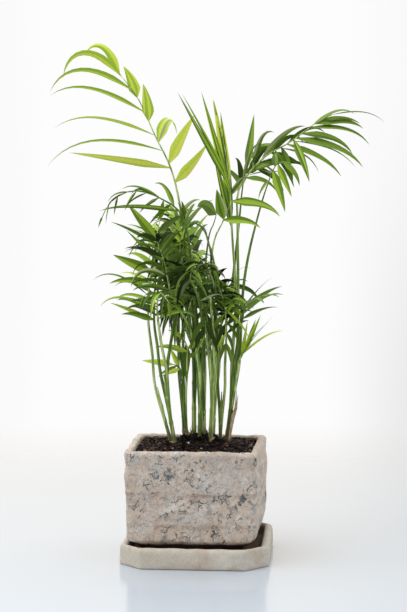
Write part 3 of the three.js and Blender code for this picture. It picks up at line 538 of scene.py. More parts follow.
def skin(bm, around, along, corner):
    """Wraps a grid round into a closed skin. corner(turn, step) gives a place and its share of relief."""
    relief = bm.verts.layers.float.new("relief")
    grid = bmesh.ops.create_grid(bm, x_segments=around, y_segments=along, size=1)
    for vertex in grid["verts"]:
        place, share = corner((vertex.co.x + 1) / 2, (vertex.co.y + 1) / 2)
        vertex.co = place * MM
        vertex[relief] = share
    bmesh.ops.remove_doubles(bm, verts=bm.verts, dist=2e-6)
    bmesh.ops.recalc_face_normals(bm, faces=bm.faces)
    for face in bm.faces:
        face.smooth = True
    return relief


def roughen(bm, relief, height):
    """Moves each corner out or in by height(place), as far as its share of relief allows."""
    bm.normal_update()
    for vertex in bm.verts:
        vertex.co += vertex.normal * (height(vertex.co / MM) * vertex[relief] * MM)


def limb(bm, stations, sides, relief=None, slot=0):
    """A closed limb along stations of (place, direction, across, radius), with relief(share, angle) in mm."""
    rows = len(stations) - 1
    rod = bmesh.new()
    bmesh.ops.create_cone(rod, cap_ends=True, segments=sides, radius1=1, radius2=1, depth=2)
    uprights = [edge for edge in rod.edges if abs(edge.verts[0].co.z - edge.verts[1].co.z) > 1]
    bmesh.ops.subdivide_edges(rod, edges=uprights, cuts=rows - 1, use_grid_fill=True)
    for vertex in rod.verts:
        row = round((vertex.co.z + 1) / 2 * rows)
        at, along, across, radius = stations[row]
        angle = math.atan2(vertex.co.y, vertex.co.x)
        if relief:
            radius = radius + relief(row / rows, angle)
        up = across.cross(along)
        vertex.co = (at + across * (math.cos(angle) * radius) + up * (math.sin(angle) * radius)) * MM
    for face in rod.faces:
        face.smooth = True
        face.material_index = slot
    bmesh.ops.recalc_face_normals(rod, faces=rod.faces)
    finished = mesh_of(rod, "limb")
    bm.from_mesh(finished)
    bpy.data.meshes.remove(finished)


# ---------------------------------------------------------------- clay
LONG_SIDE = 60  # steps along a long side of the saucer, and along a cut corner
CUT_SIDE = 22
POT_SIDE = 90  # steps along a side of the pot, and up its wall
WALL_STEPS = 96
SEAMS = (64, 34)  # heights of the seams between the pot's coils, over its base
LEDGES = ((64, 13, 0.8), (34, 13, 0.8), (90, 12, 0.55))  # each ledge's height, reach up the wall and depth
FOOT_CORNER = 5  # how sharp the pot's corners are under its foot, up the wall, on the rim and inside
WALL_CORNER = 36
RIM_CORNER = 34
ROOM_CORNER = 16


def octagon_place(turn, width, depth, cut):
    """A place on a square with cut corners, a share turn of the way round."""
    w, d = width / 2, depth / 2
    v, e = w - cut, d - cut
    ends = ((w, -e), (w, e), (v, d), (-v, d), (-w, e), (-w, -e), (-v, -d), (v, -d))
    steps = (LONG_SIDE, CUT_SIDE) * 4
    column = turn * sum(steps)
    side = 0
    while side < 7 and column > steps[side] + 1e-6:
        column -= steps[side]
        side += 1
    share = column / steps[side]
    (x0, y0), (x1, y1) = ends[side], ends[(side + 1) % 8]
    return Vector((lerp(x0, x1, share), lerp(y0, y1, share), 0))


def saucer_profile(size):
    """Rows of (shrink, inset, height, relief) from the underside's middle out, up, over the rim and in."""
    top = size.height
    rim = size.rim
    floor = size.floor
    rows = [(share, 2, 0, 0) for share in (0, 0.25, 0.5, 0.7, 0.85, 0.95, 1)]
    rows += [(1, 1.1, 0.25, 0), (1, 0.4, 0.9, 0.2), (1, 0.1, 2, 0.5), (1, 0, 4, 1)]
    rows += [(1, 0.02 * z, z, 1) for z in (6, 8, 10, 12, 14)]
    rows += [(1, 0.5, top - 3.6, 1), (1, 1.0, top - 2, 1), (1, 1.9, top - 0.8, 1), (1, 3.2, top - 0.15, 1)]
    rows += [(1, 4.6, top, 1), (1, 6, top - 0.15, 1), (1, 7.3, top - 0.8, 1), (1, 8.2, top - 2, 1)]
    rows += [(1, rim - 0.3, top - 4, 1), (1, rim, floor + 6, 0.8), (1, rim + 0.4, floor + 3, 0.5)]
    rows += [(1, rim + 1.4, floor + 1, 0.2), (1, rim + 3.2, floor, 0)]
    rows += [(share, rim + 3.2, floor, 0) for share in (0.9, 0.7, 0.45, 0.2, 0)]
    return rows


def clay_height(place, seed, flaking=0.0, ledges=()):
    """Relief of hand-formed clay at a place: swellings, finger marks, grit, flaked slip and ledges."""
    shifted = place + Vector((seed, 0, 0))
    wide = noise.noise(shifted * 0.028)
    marks = noise.noise(shifted * 0.085 + Vector((3, 9, 1)))
    grit = noise.noise(shifted * 0.3) + 0.7 * noise.noise(shifted * 0.62)
    height = 0.55 * wide + 0.5 * marks + 0.14 * grit
    slip = noise.noise(shifted * 0.13 + Vector((7, 2, 4))) + 0.55 * noise.noise(shifted * 0.36)
    height += flaking * (smoothstep(slip, -0.02, 0.1) - 0.5 * smoothstep(slip, 0.3, 0.38))
    for level, reach, depth in ledges:
        above = place.z - level - 4 * noise.noise(shifted * 0.03 + Vector((0, 5, 0))) - grit
        strong = 0.6 + 0.7 * noise.noise(shifted * 0.04 + Vector((level, 0, 0)))
        height += depth * strong * smoothstep(above, -1.4, 0.5) * math.exp(-max(0, above) / reach)
    return height


def pot_half(size, z):
    """Half the pot's width at a height above its base: it tapers, has a waist and its foot is drawn in."""
    share = clamp(z / size.height)
    under = clamp((size.foot - z) / size.foot)
    drawn_in = size.foot_inset * (1.12 * under - 0.12 * under**3) * smoothstep(under, 0, 0.3)
    neck = size.neck * math.exp(-(((size.height - z - 14) / 7) ** 2))
    return size.width / 2 - size.taper * (1 - share) - neck - drawn_in


def room_half(size, z):
    """Half the width of the pot's inside at a height above its base: it opens out towards the rim."""
    flare = size.flare * smoothstep(z, size.height - 24, size.height - 4)
    return size.width / 2 - size.wall - 7 + 0.06 * (z - size.floor) + flare


def square_place(turn, half, sharp):
    """A place on a square whose corners are round: a higher sharp is a sharper corner."""
    side = min(3, int(turn * 4))
    along = 2 * (turn * 4 - side) - 1
    along = lerp(along, math.copysign(1 - (1 - abs(along)) ** 2, along), 0.5)
    x, y = ((1, along), (-along, 1), (-1, -along), (along, -1))[side]
    reach = half / (abs(x) ** sharp + abs(y) ** sharp) ** (1 / sharp)
    return Vector((x * reach, y * reach, 0))


def handmade(size, place, hand):
    """The pot is formed by hand: wider at the back, drawn in low on its right, and a little uneven."""
    x, y, z = place
    uneven = math.sin(x * 0.071 + z * 0.043 + 1) + math.sin(y * 0.083 - z * 0.06) * math.cos(x * 0.05 + 2)
    swell = 1 + size.hand * hand * uneven / size.width
    wider = size.back / size.width * (0.5 + y / size.width) * smoothstep(z, 2, 30)
    x *= swell + wider
    x -= size.lean * smoothstep(x, 0, size.width / 2) * (1 - smoothstep(z, 0, 32))
    return Vector((x, y * swell, z))


def pot_profile(size):
    """Rows of (half width, height, sharpness, hand, relief): under the foot, up, over the rim and inside."""
    rows = [(pot_half(size, 0) * share, 0, FOOT_CORNER, 1, 0) for share in (0, 0.3, 0.55, 0.75, 0.88, 0.96)]
    lip = size.lip_round
    wall_top = size.height - lip
    for step in range(WALL_STEPS + 1):
        z = wall_top * (step / WALL_STEPS) ** 1.1
        sharp = lerp(FOOT_CORNER, WALL_CORNER, smoothstep(z, 4, 44))
        rows.append((pot_half(size, z), z, sharp, 1, smoothstep(z, -3, 16)))
    outer = pot_half(size, size.height)
    inner = room_half(size, size.height)
    for step in range(1, 7):
        angle = math.radians(15 * step)
        rows.append((outer - lip + lip * math.cos(angle), wall_top + lip * math.sin(angle), RIM_CORNER, 1, 1))
    for step in (1, 2, 3):
        half = lerp(outer - lip, inner + 2, step / 3)
        rows.append((half, size.height + 0.15, lerp(RIM_CORNER, ROOM_CORNER + 2, step / 3), 1, 1))
    for step in (1, 2, 3):
        angle = math.radians(30 * step)
        z = size.height - 2 + 2 * math.cos(angle)
        rows.append((inner + 2 - 2 * math.sin(angle), z, ROOM_CORNER, 1, 0.8))
    for step in range(1, 15):
        z = lerp(size.height - 2, size.floor, step / 14)
        relief = 0.5 * smoothstep(z, size.height - 16, size.height - 4)
        rows.append((room_half(size, z), z, ROOM_CORNER, 0, relief))
    half = room_half(size, size.floor)
    rows += [(half * share, size.floor, ROOM_CORNER, 0, 0) for share in (0.7, 0.35, 0)]
    return rows


# ---------------------------------------------------------------- soil
def soil_height(scene, x, y):
    """Height of the soil's surface: a long mound round the canes, and gentle waves."""
    plant = in_mm(scene.catpalm_plant)
    away = math.hypot(x - OFF_CENTRE - 3, (y - 2) * 1.25)
    hill = plant.mound * math.exp(-((away / plant.mound_radius) ** 2))
    return heights(scene).soil - 1 + hill + 0.8 * math.sin(x * 0.31 + 1) * math.cos(y * 0.27)


def chip(bm, at, size, turn, tip, number, slot):
    """A bark chip: a brick with its corners knocked about."""
    brick = bmesh.ops.create_cube(bm, size=1)
    shape = Matrix.Rotation(turn, 3, "Z") @ Matrix.Rotation(tip, 3, "Y") @ Matrix.Diagonal(size)
    for count, vertex in enumerate(brick["verts"]):
        knock = Vector((chance(number * 31 + count), chance(number * 17 + count), chance(number * 7 + count)))
        vertex.co = (at + shape @ (vertex.co + knock * 0.2)) * MM
    faces = {face for vertex in brick["verts"] for face in vertex.link_faces}
    for face in faces:
        face.material_index = slot


# ---------------------------------------------------------------- lines in the clump
def placed(place):
    """A place of the clump's own frame in the part's frame."""
    turned = Matrix.Rotation(math.radians(CLUMP_TURN), 3, "Z") @ Vector(place)
    return turned + Vector((OFF_CENTRE, 0, 0))


def directions_of(places):
    """The direction of a line at each of its places."""
    last = len(places) - 1
    return [(places[min(last, i + 1)] - places[max(0, i - 1)]).normalized() for i in range(last + 1)]


def level_across(along, least):
    """The level direction across a line, or straight away where the line leans less than least."""
    across = Vector((-along.y, along.x, 0))
    return across.normalized() if across.length > least else Vector((0, 1, 0))


class Line:
    """A smooth line through some places, in even steps."""

    def __init__(self, places, steps):
        ends = [places[0] * 2 - places[1], *places, places[-1] * 2 - places[-2]]
        fine = []
        for k in range(len(places) - 1):
            before, start, end, after = ends[k : k + 4]
            leave = (end - before) * 0.5
            arrive = (after - start) * 0.5
            for i in range(FINE_STEPS):
                t = i / FINE_STEPS
                curve = (end - start) * 3 - leave * 2 - arrive
                turn = (start - end) * 2 + leave + arrive
                fine.append(start + leave * t + curve * t**2 + turn * t**3)
        fine.append(places[-1].copy())
        run = [0]
        for here, there in zip(fine, fine[1:]):
            run.append(run[-1] + (there - here).length)
        self.run = run
        self.steps = steps
        self.at = []
        k = 1
        for i in range(steps + 1):
            want = i / steps * run[-1]
            while k < len(run) - 1 and run[k] < want:
                k += 1
            share = clamp((want - run[k - 1]) / (run[k] - run[k - 1]))
            self.at.append(fine[k - 1].lerp(fine[k], share))
        self.along = directions_of(self.at)

    def share(self, number):
        """How far along the line its place of that number is, as a share of its length."""
        return self.run[FINE_STEPS * number] / self.run[-1]

    def on(self, share):
        """Place and direction at a share of the length."""
        where = clamp(share) * self.steps
        i = min(int(where), self.steps - 1)
        t = where - i
        return self.at[i].lerp(self.at[i + 1], t), self.along[i].lerp(self.along[i + 1], t).normalized()


def stations_along(places, directions, radii):
    """Stations for a limb, whose side doesn't twist from one to the next."""
    across = level_across(directions[0], 1e-4)
    stations = []
    for at, along, radius in zip(places, directions, radii):
        across = (across - along * across.dot(along)).normalized()
        stations.append((at, along, across, radius))
    return stations


def cane_line(scene, cane, steps):
    """The line of a cane from inside the soil to its tip: it leans, and straightens a little on its way."""
    foot = placed((*cane.foot, 0))
    foot.z = soil_height(scene, foot.x, foot.y)
    tip = placed(cane.tip)
    root = foot - (tip - foot).normalized() * CANE_DEPTH
    middle = root.lerp(tip, 0.5).lerp(Vector((tip.x, tip.y, root.z)), 0.06)
    return Line([root, middle, tip], steps)


def seat_of(scene, frond):
    """Where a frond leaves its cane: clear of its side at the cane's tip."""
    cane = CANES[frond.cane]
    out = cane.top + STALK + GAP
    angle = math.radians(frond.seat + CLUMP_TURN)
    return cane_line(scene, cane, 4).at[-1] + Vector((math.cos(angle) * out, math.sin(angle) * out, 0))


class Rib(Line):
    """The rib of a frond: from beside its cane up the petiole and out along the blade."""

    def __init__(self, scene, frond):
        stalk = [placed(place) for place in frond.stalk]
        blade = [placed(place) for place in frond.blade]
        super().__init__([seat_of(scene, frond), *stalk, *blade], RIB_STEPS)
        self.bare = self.share(1 + len(stalk))
        lean = blade[-1] - blade[0]
        facing = math.atan2(lean.y, lean.x)
        if frond.facing is not None:
            facing = math.radians(frond.facing + CLUMP_TURN)
        self.level = Vector((-math.sin(facing), math.cos(facing), 0))


def leaflets_of(frond):
    """Each leaflet of a frond: as the frond names them, or in pairs from the tip down."""
    if frond.leaves:
        names = "share spread long droop face wide hug".split()
        plain = {"hug": 0, "vee": frond.vee, "twist": 0}
        found = [SimpleNamespace(**{**plain, **dict(zip(names, row))}) for row in frond.leaves]
        for leaflet in found:
            leaflet.side = -1 if leaflet.spread < 0 else 1
            leaflet.spread = abs(leaflet.spread)
        return found
    last = max(1, round(frond.pairs * FINER) - 1)
    found = []
    for number in range(last, -1, -1):
        for side in (1, -1):
            f = number / last
            upper = side > 0
            k = (frond.seed * 97 + number * 2 + upper) * 5
            size = frond.leaflet[upper] if isinstance(frond.leaflet, tuple) else frond.leaflet
            curve = (0.9 + 0.14 * math.sin(math.pi * f)) * lerp(1, frond.taper, f**3)
            hangs = smoothstep(chance(k + 6), 0.3, 0.7) * frond.hang
            found.append(SimpleNamespace(
                share=f + (0.6 * (1 - f) / last if side < 0 else 0),
                side=side,
                spread=lerp(frond.spread, frond.spread * frond.close, f) + VARIED.spread * chance(k),
                vee=frond.vee + VARIED.vee * chance(k + 1),
                long=size * curve * (1 + VARIED.long * chance(k + 2)),
                droop=frond.droop * lerp(1, frond.curl, f) * (1 + VARIED.droop * chance(k + 3)) + hangs,
                face=VARIED.face * chance(k + 7), twist=VARIED.twist * chance(k + 4), hug=0,
                wide=frond.wide * SLIMMER * (1 + VARIED.wide * chance(k + 5)),
            ))
    return found


def leaflet_line(frond, rib, leaflet, shift):
    """The stations of one leaflet, from inside the rib to its tip: (place, direction, across, share)."""
    turn, tilt = shift
    at, rib_along = rib.on(lerp(rib.bare, 1, clamp(leaflet.share, 0.01, 0.99)))
    level = (rib.level - rib_along * rib.level.dot(rib_along)).normalized()
    normal = rib_along.cross(level).normalized()
    roll = math.radians(frond.roll)
    out = level * math.cos(roll) + normal * math.sin(roll)
    up = rib_along.cross(out)
    spread = math.radians(leaflet.spread + turn)
    vee = math.radians(leaflet.vee + tilt)
    along = rib_along * math.cos(spread) + out * (leaflet.side * math.sin(spread) * math.cos(vee))
    along += up * (math.sin(spread) * math.sin(vee))
    across = rib_along * leaflet.side
    stations = []
    for i in range(LEAF_STEPS + 1):
        u = i / LEAF_STEPS
        across = (across - along * across.dot(along)).normalized()
        angle = math.radians((leaflet.face + leaflet.twist * u) * leaflet.side)
        turned = Matrix.Rotation(angle, 3, along) @ across
        stations.append((at.copy(), along.copy(), turned, u))
        at = at + along * (leaflet.long / LEAF_STEPS)
        along.z -= leaflet.droop * (0.2 + 0.4 * u + 1.8 * u * u) / LEAF_STEPS
        along += rib_along * (leaflet.hug / LEAF_STEPS)
        along.normalize()
    return stations


def leaflet_width(u):
    """Share of its full width that a leaflet has at a share u of its length: a long, drawn-out tip."""
    return min(1, 0.12 + 3.3 * u) * max(0, 1 - u**1.8) ** 0.92


def leaflet_sheet(bm, stations, wide, fold, slots):
    """A leaflet: a grid bent along its stations, folded along the middle with a pleat on each side."""
    columns = 4
    sheet = bmesh.ops.create_grid(bm, x_segments=columns, y_segments=LEAF_STEPS, size=1)
    for face in {face for vertex in sheet["verts"] for face in vertex.link_faces}:
        column = int((face.calc_center_median().x + 1) / 2 * columns)
        face.material_index = slots[column * len(slots) // columns]
        face.smooth = True
    for vertex in sheet["verts"]:
        at, along, across, u = stations[round((vertex.co.y + 1) / 2 * LEAF_STEPS)]
        x = vertex.co.x
        half = leaflet_width(u) * wide / 2
        rise = fold * abs(x) - (0.1 if abs(abs(x) - 0.5) < 0.1 else 0) - 0.5 * fold * x * x
        up = across.cross(along)
        vertex.co = (at + across * (x * half) + up * (rise * half)) * MM


# ---------------------------------------------------------------- keeping the leaflets apart
class Standing:
    """Something that a new leaflet must not touch."""

    def __init__(self, corners, faces, owner, is_leaflet=False):
        self.tree = BVHTree.FromPolygons(corners, faces)
        self.low = [min(c[i] for c in corners) for i in range(3)]
        self.high = [max(c[i] for c in corners) for i in range(3)]
        self.owner = owner
        self.is_leaflet = is_leaflet

    def meets(self, other):
        apart = any(self.low[i] > other.high[i] or other.low[i] > self.high[i] for i in range(3))
        return not apart and bool(self.tree.overlap(other.tree))


def standing_tube(stations, owner):
    """A limb as a square tube, to test leaflets against."""
    corners = []
    for at, along, across, radius in stations:
        up = across.cross(along)
        corners += [at + across * radius, at + up * radius, at - across * radius, at - up * radius]
    faces = []
    for row in range(len(stations) - 1):
        for side in range(4):
            a, b = row * 4 + side, row * 4 + (side + 1) % 4
            faces.append((a, b, b + 4, a + 4))
    return Standing(corners, faces, owner)


def standing_leaflet(stations, wide, owner, first=0):
    """A leaflet as a flat strip, to test others against. first leaves out its stalk."""
    corners = []
    for at, _, across, u in stations[first:]:
        half = max(0.2, leaflet_width(u) * wide / 2)
        corners += [at - across * half, at + across * half]
    rows = len(corners) // 2
    faces = [(2 * i, 2 * i + 1, 2 * i + 3, 2 * i + 2) for i in range(rows - 1)]
    return Standing(corners, faces, owner, is_leaflet=True)


def in_the_open(frond, stations):
    """Whether a leaflet would grow into the open space beside the clump's middle."""
    if frond.leaves or frond.name.startswith("right"):
        return False
    for at, _, _, _ in stations[::2]:
        place = Matrix.Rotation(math.radians(-CLUMP_TURN), 3, "Z") @ (at - Vector((OFF_CENTRE, 0, 0)))
        for (low, low_edge), (high, high_edge) in zip(OPEN_SPACE, OPEN_SPACE[1:]):
            if low < place.z <= high and place.x > lerp(low_edge, high_edge, (place.z - low) / (high - low)):
                return True
    return False


def shade_of(frond, number, stations):
    """The slots of a leaflet's strips: as its frond deals them, and a step darker in the clump's middle as
    painted shade.
    """
    words = (frond.shades or DEALS[frond.tone]).split()
    pick = number if frond.shades else int((chance(frond.seed * 13 + number * 3) + 1) * 50)
    slots = [SHADE_LETTERS.index(letter) for letter in words[pick % len(words)]]
    away = stations[LEAF_STEPS // 2][0] - CORE
    inside = sum((away[i] / CORE_REACH[i]) ** 2 for i in range(3)) < 1
    # Painted shade: a leaflet in the clump's middle takes the next darker shade unless it is lit.
    if inside and not frond.leaves:
        lit = chance(frond.seed * 29 + number * 7) > LIT
        slots = [slot if lit or slot >= DARKEST else slot + 1 for slot in slots]
    return slots


def grow(scene, standing, fronds):
    """Every frond's rib, and all leaflets as (frond, slots, stations, width), clear of the other limbs."""
    ribs = {frond.name: Rib(scene, frond) for frond in fronds}
    for frond in fronds:
        standing.append(standing_tube(rib_stations(scene, frond, ribs[frond.name]), frond.name))
    leaflets = []
    for frond in fronds:
        for number, leaflet in enumerate(leaflets_of(frond)):
            for shift in SHIFTS:
                stations = leaflet_line(frond, ribs[frond.name], leaflet, shift)
                whole = standing_leaflet(stations, leaflet.wide, frond.name)
                outer = standing_leaflet(stations, leaflet.wide, frond.name, first=2)
                others = [o for o in standing if o.owner != frond.name]
                own = [o for o in standing if o.owner == frond.name and o.is_leaflet]
                if in_the_open(frond, stations) or any(whole.meets(o) for o in others):
                    continue
                if not frond.pressed and any(outer.meets(o) for o in own):
                    continue
                standing.append(whole)
                leaflets.append((frond, shade_of(frond, number, stations), stations, leaflet.wide))
                break
    return ribs, leaflets


SHEATH = 64  # how far below its cane's tip a frond's green sheath starts, and its steps along the cane
SHEATH_STEPS = 8
SHEATH_START = 0.7  # its radius there and at the tip, as shares of the cane's
SHEATH_END = 0.86


def rib_stations(scene, frond, rib):
    """Stations of a rib, from the sheath that wraps the top of its cane to its tip, on one easy bend."""
    plant = in_mm(scene.catpalm_plant)
    cane = CANES[frond.cane]
    stem = cane_line(scene, cane, 8)
    aside = rib.at[0] - stem.at[-1]
    places = []
    radii = []
    for step in range(SHEATH_STEPS):
        up = step / SHEATH_STEPS
        inside, _ = stem.on(1 - SHEATH * (1 - up) / stem.run[-1])
        places.append(inside + aside * (0.8 * up**2))
        radii.append(cane.top * SLIM * lerp(SHEATH_START, SHEATH_END, smoothstep(up, 0, 0.5)))
    for step, at in enumerate(rib.at):
        places.append(at)
        share = step / rib.steps
        sheathed = (cane.top * SLIM * SHEATH_END - plant.rib_foot) * (1 - share) ** 9
        full = rib.bare * 0.6
        radii.append(lerp(plant.rib_foot, plant.rib_tip, max(0, share - full) / (1 - full)) + sheathed)
    for _ in range(4):
        eased = [here.copy() for here in places]
        for i in range(2, SHEATH_STEPS + 5):
            eased[i] = places[i] * 0.4 + (places[i - 1] + places[i + 1]) * 0.3
        places = eased
    return stations_along(places, directions_of(places), radii)


# ---------------------------------------------------------------- materials
class Wiring:
    """Adds nodes to a tree and joins them. Most calls give the socket that holds their result."""

    def __init__(self, tree):
        self.tree = tree

    def feed(self, socket, value):
        if isinstance(value, bpy.types.NodeSocket):
            self.tree.links.new(value, socket)
        elif isinstance(value, (tuple, Color)) and len(value) == 3 and len(socket.default_value) == 4:
            socket.default_value = (*value, 1)
        else:
            socket.default_value = value

    def node(self, kind, inputs=None, **settings):
        node = self.tree.nodes.new(kind)
        for key, value in settings.items():
            setattr(node, key, value)
        for key, value in (inputs or {}).items():
            self.feed(node.inputs[key], value)
        return node

    def place(self):
        """The place on the object, in metres."""
        return self.node("ShaderNodeTexCoord").outputs["Object"]

    def vector(self, operation, inputs):
        return self.node("ShaderNodeVectorMath", inputs, operation=operation).outputs

    def parts(self, vector):
        return self.node("ShaderNodeSeparateXYZ", {0: vector}).outputs

    def stretched(self, vector, scale=(1, 1, 1), shift=(0, 0, 0)):
        inputs = {"Vector": vector, "Scale": scale, "Location": shift}
        return self.node("ShaderNodeMapping", inputs).outputs[0]

    def noise(self, vector, scale, detail=4.0, roughness=0.55):
        inputs = {"Vector": vector, "Scale": scale, "Detail": detail, "Roughness": roughness}
        return self.node("ShaderNodeTexNoise", inputs).outputs["Fac"]

    def ramp(self, value, low, high, to_low=0.0, to_high=1.0, way="LINEAR"):
        """A value between low and high, as one between the other two numbers."""
        inputs = {"Value": value, "From Min": low, "From Max": high, "To Min": to_low, "To Max": to_high}
        return self.node("ShaderNodeMapRange", inputs, interpolation_type=way).outputs[0]

    def spread(self, value, low, high, to_low=0.0, to_high=1.0):
        """The same, eased at both ends."""
        return self.ramp(value, low, high, to_low, to_high, "SMOOTHSTEP")

    def math(self, operation, first, second=0.0):
        return self.node("ShaderNodeMath", {0: first, 1: second}, operation=operation).outputs[0]

    def plus(self, first, second):
        return self.math("ADD", first, second)

    def minus(self, first, second):
        return self.math("SUBTRACT", first, second)

    def times(self, first, second):
        return self.math("MULTIPLY", first, second)

    def most(self, first, second):
        return self.math("MAXIMUM", first, second)

    def blend(self, share, first, second, way="MIX"):
        node = self.node("ShaderNodeMix", data_type="RGBA", blend_type=way)
        for index, value in ((0, share), (6, first), (7, second)):
            self.feed(node.inputs[index], value)
        return node.outputs[2]

    def wavy(self, vector, scale, amount):
        """The place moved about a little, so that what is drawn there has uneven edges."""
        clouds = self.node("ShaderNodeTexNoise", {"Vector": vector, "Scale": scale, "Detail": 3.0})
        centred = self.vector("SUBTRACT", {0: clouds.outputs["Color"], 1: (0.5, 0.5, 0.5)})[0]
        return self.vector("ADD", {0: vector, 1: self.vector("SCALE", {0: centred, "Scale": amount})[0]})[0]

    def use(self, name, **inputs):
        """Places a group and feeds its inputs."""
        node = self.node("ShaderNodeGroup", node_tree=bpy.data.node_groups[name])
        for key, value in inputs.items():
            self.feed(node.inputs[key], value)
        return node.outputs


def new_group(name, inputs, outputs):
    """A node group with named sockets: a Vector, inputs with their defaults, and outputs."""
    tree = bpy.data.node_groups.new(name, "ShaderNodeTree")
    tree.interface.new_socket("Vector", in_out="INPUT", socket_type="NodeSocketVector")
    for label, default in inputs.items():
        kind = "NodeSocketColor" if isinstance(default, tuple) else "NodeSocketFloat"
        socket = tree.interface.new_socket(label, in_out="INPUT", socket_type=kind)
        socket.default_value = default
    for label in outputs:
        kind = "NodeSocketColor" if label == "Color" else "NodeSocketFloat"
        tree.interface.new_socket(label, in_out="OUTPUT", socket_type=kind)
    given = tree.nodes.new("NodeGroupInput").outputs
    result = tree.nodes.new("NodeGroupOutput").inputs
    return Wiring(tree), given, result


def make_clay_body():
    """Group: pale, warm and cool slip in patches over clay, with grit and pits."""
    grey = (0.5, 0.5, 0.5, 1)
    wires, given, result = new_group(
        "Clay body",
        {"Body": grey, "Pale": grey, "Warm": grey, "Cool": grey, "Mottle": 34.0, "Grit": 0.3, "Shade": 0.7},
        ("Color", "Height", "Roughness"),
    )
    place = wires.wavy(given["Vector"], 90.0, 0.006)
    pale = wires.spread(wires.noise(place, given["Mottle"], 8.0, 0.68), 0.46, 0.66)
    far = wires.stretched(place, shift=(0.31, 0.17, 0.05))
    warm = wires.spread(wires.noise(far, wires.times(given["Mottle"], 1.5), 6.0, 0.62), 0.5, 0.64)
    further = wires.stretched(place, shift=(0.11, 0.47, 0.25))
    cool = wires.spread(wires.noise(further, wires.times(given["Mottle"], 0.9), 6.0, 0.66), 0.5, 0.66)
    tint = wires.blend(pale, given["Body"], given["Pale"])
    tint = wires.blend(wires.times(cool, 0.6), tint, given["Cool"])
    tint = wires.blend(wires.times(warm, 0.65), tint, given["Warm"])
    coarse = wires.noise(given["Vector"], 260.0, 5.0, 0.7)
    grain = wires.plus(wires.times(coarse, 0.6), wires.times(wires.noise(place, 800.0), 0.4))
    shade = wires.ramp(grain, 0.34, 0.66, given["Shade"], 1.1)
    shade_colour = wires.node("ShaderNodeCombineColor", {0: shade, 1: shade, 2: shade}).outputs[0]
    tint = wires.blend(1.0, tint, shade_colour, "MULTIPLY")
    pits = wires.node("ShaderNodeTexVoronoi", {"Vector": place, "Scale": 330.0}).outputs["Distance"]
    pit = wires.spread(pits, 0.06, 0.17, 1.0, 0.0)
    where = wires.spread(wires.noise(given["Vector"], 55.0, 2.0), 0.5, 0.62)
    pit = wires.times(pit, where)
    tint = wires.blend(wires.times(pit, 0.75), tint, (0.09, 0.065, 0.05))
    height = wires.times(grain, given["Grit"])
    height = wires.plus(height, wires.times(pale, 0.35))
    height = wires.minus(height, wires.times(pit, 0.9))
    wires.feed(result["Color"], tint)
    wires.feed(result["Height"], height)
    wires.feed(result["Roughness"], wires.spread(grain, 0.2, 0.8, 0.82, 0.97))


def make_clay_cracks():
    """Group: short, broken cracks in slip that has dried too fast. Mask is 1 in a crack, Lifted beside it."""
    wires, given, result = new_group(
        "Clay cracks", {"Scale": 90.0, "Width": 0.05, "Kept": 0.5}, ("Mask", "Lifted")
    )
    place = wires.wavy(given["Vector"], 170.0, 0.002)
    inputs = {"Vector": place, "Scale": given["Scale"]}
    edge = wires.node("ShaderNodeTexVoronoi", inputs, feature="DISTANCE_TO_EDGE").outputs["Distance"]
    width = given["Width"]
    line = wires.ramp(edge, width, wires.times(width, 0.35))
    start = wires.minus(0.74, wires.times(given["Kept"], 0.5))
    kept = wires.ramp(wires.noise(given["Vector"], 230.0, 2.0), start, wires.plus(start, 0.05))
    wires.feed(result["Mask"], wires.times(line, kept))
    beside = wires.minus(wires.ramp(edge, wires.times(width, 4.0), width), line)
    wires.feed(result["Lifted"], wires.times(wires.most(beside, 0.0), kept))


def make_streaks():
    """Group: fine streaks that run up a stem, a sheath or a rib."""
    green = (0.2, 0.3, 0.1, 1)
    wires, given, result = new_group(
        "Streaks", {"Body": green, "Streak": green, "Fineness": 900.0}, ("Color", "Height", "Roughness")
    )
    drawn = wires.stretched(given["Vector"], scale=(1, 1, 0.02))
    veins = wires.noise(drawn, given["Fineness"], 3.0, 0.6)
    blotch = wires.noise(given["Vector"], 60.0, 3.0)
    both = wires.plus(wires.times(veins, 0.82), wires.times(blotch, 0.18))
    share = wires.spread(both, 0.44, 0.58)
    wires.feed(result["Color"], wires.blend(share, given["Body"], given["Streak"]))
    wires.feed(result["Height"], veins)
    wires.feed(result["Roughness"], wires.spread(veins, 0.3, 0.7, 0.38, 0.62))


def make_leaf_satin():
    """Group: how the gloss of a leaf changes over it."""
    wires, given, result = new_group(
        "Leaf satin", {"Glossiest": 0.34, "Dullest": 0.52}, ("Roughness",)
    )
    cloud = wires.noise(given["Vector"], 110.0, 2.0)
    wires.feed(result["Roughness"], wires.ramp(cloud, 0.35, 0.65, given["Glossiest"], given["Dullest"]))


def new_material(name):
    """A material with its nodes: (material, wiring, principled shader)."""
    material = bpy.data.materials.new(name)
    material.use_nodes = True
    shader = material.node_tree.nodes["Principled BSDF"]
    return material, Wiring(material.node_tree), shader


def dress(wires, shader, tint, roughness, gloss, height, relief):
    """Feeds a principled shader: colour, roughness, gloss level, and a pattern that stands out by relief."""
    wires.feed(shader.inputs["Base Color"], tint)
    wires.feed(shader.inputs["Roughness"], roughness)
    shader.inputs["Specular IOR Level"].default_value = gloss
    bump = wires.node("ShaderNodeBump", {"Height": height, "Distance": relief, "Strength": 1.0})
    wires.feed(shader.inputs["Normal"], bump.outputs[0])


CLAY_GLOSS = 0.25  # how glossy each kind of surface is, as its specular level
STEM_GLOSS = 0.35
DULL_GLOSS = 0.2
LEAF_ROUGH = (0.36, 0.54)  # a leaf's and a chip's least and greatest roughness
CHIP_ROUGH = (0.7, 0.95)
UPSIDE_DOWN = 0.118  # the heights of a mark and of its copy on the next side add up to this, in metres
INNER_EDGE = (0.0605, 0.0585)  # how far out the darker inner edge of the rim starts and is full, in metres: moist clay and painted shade
WELL_CUT = 0.0122  # how much the corners of the saucer's well are cut off, in metres

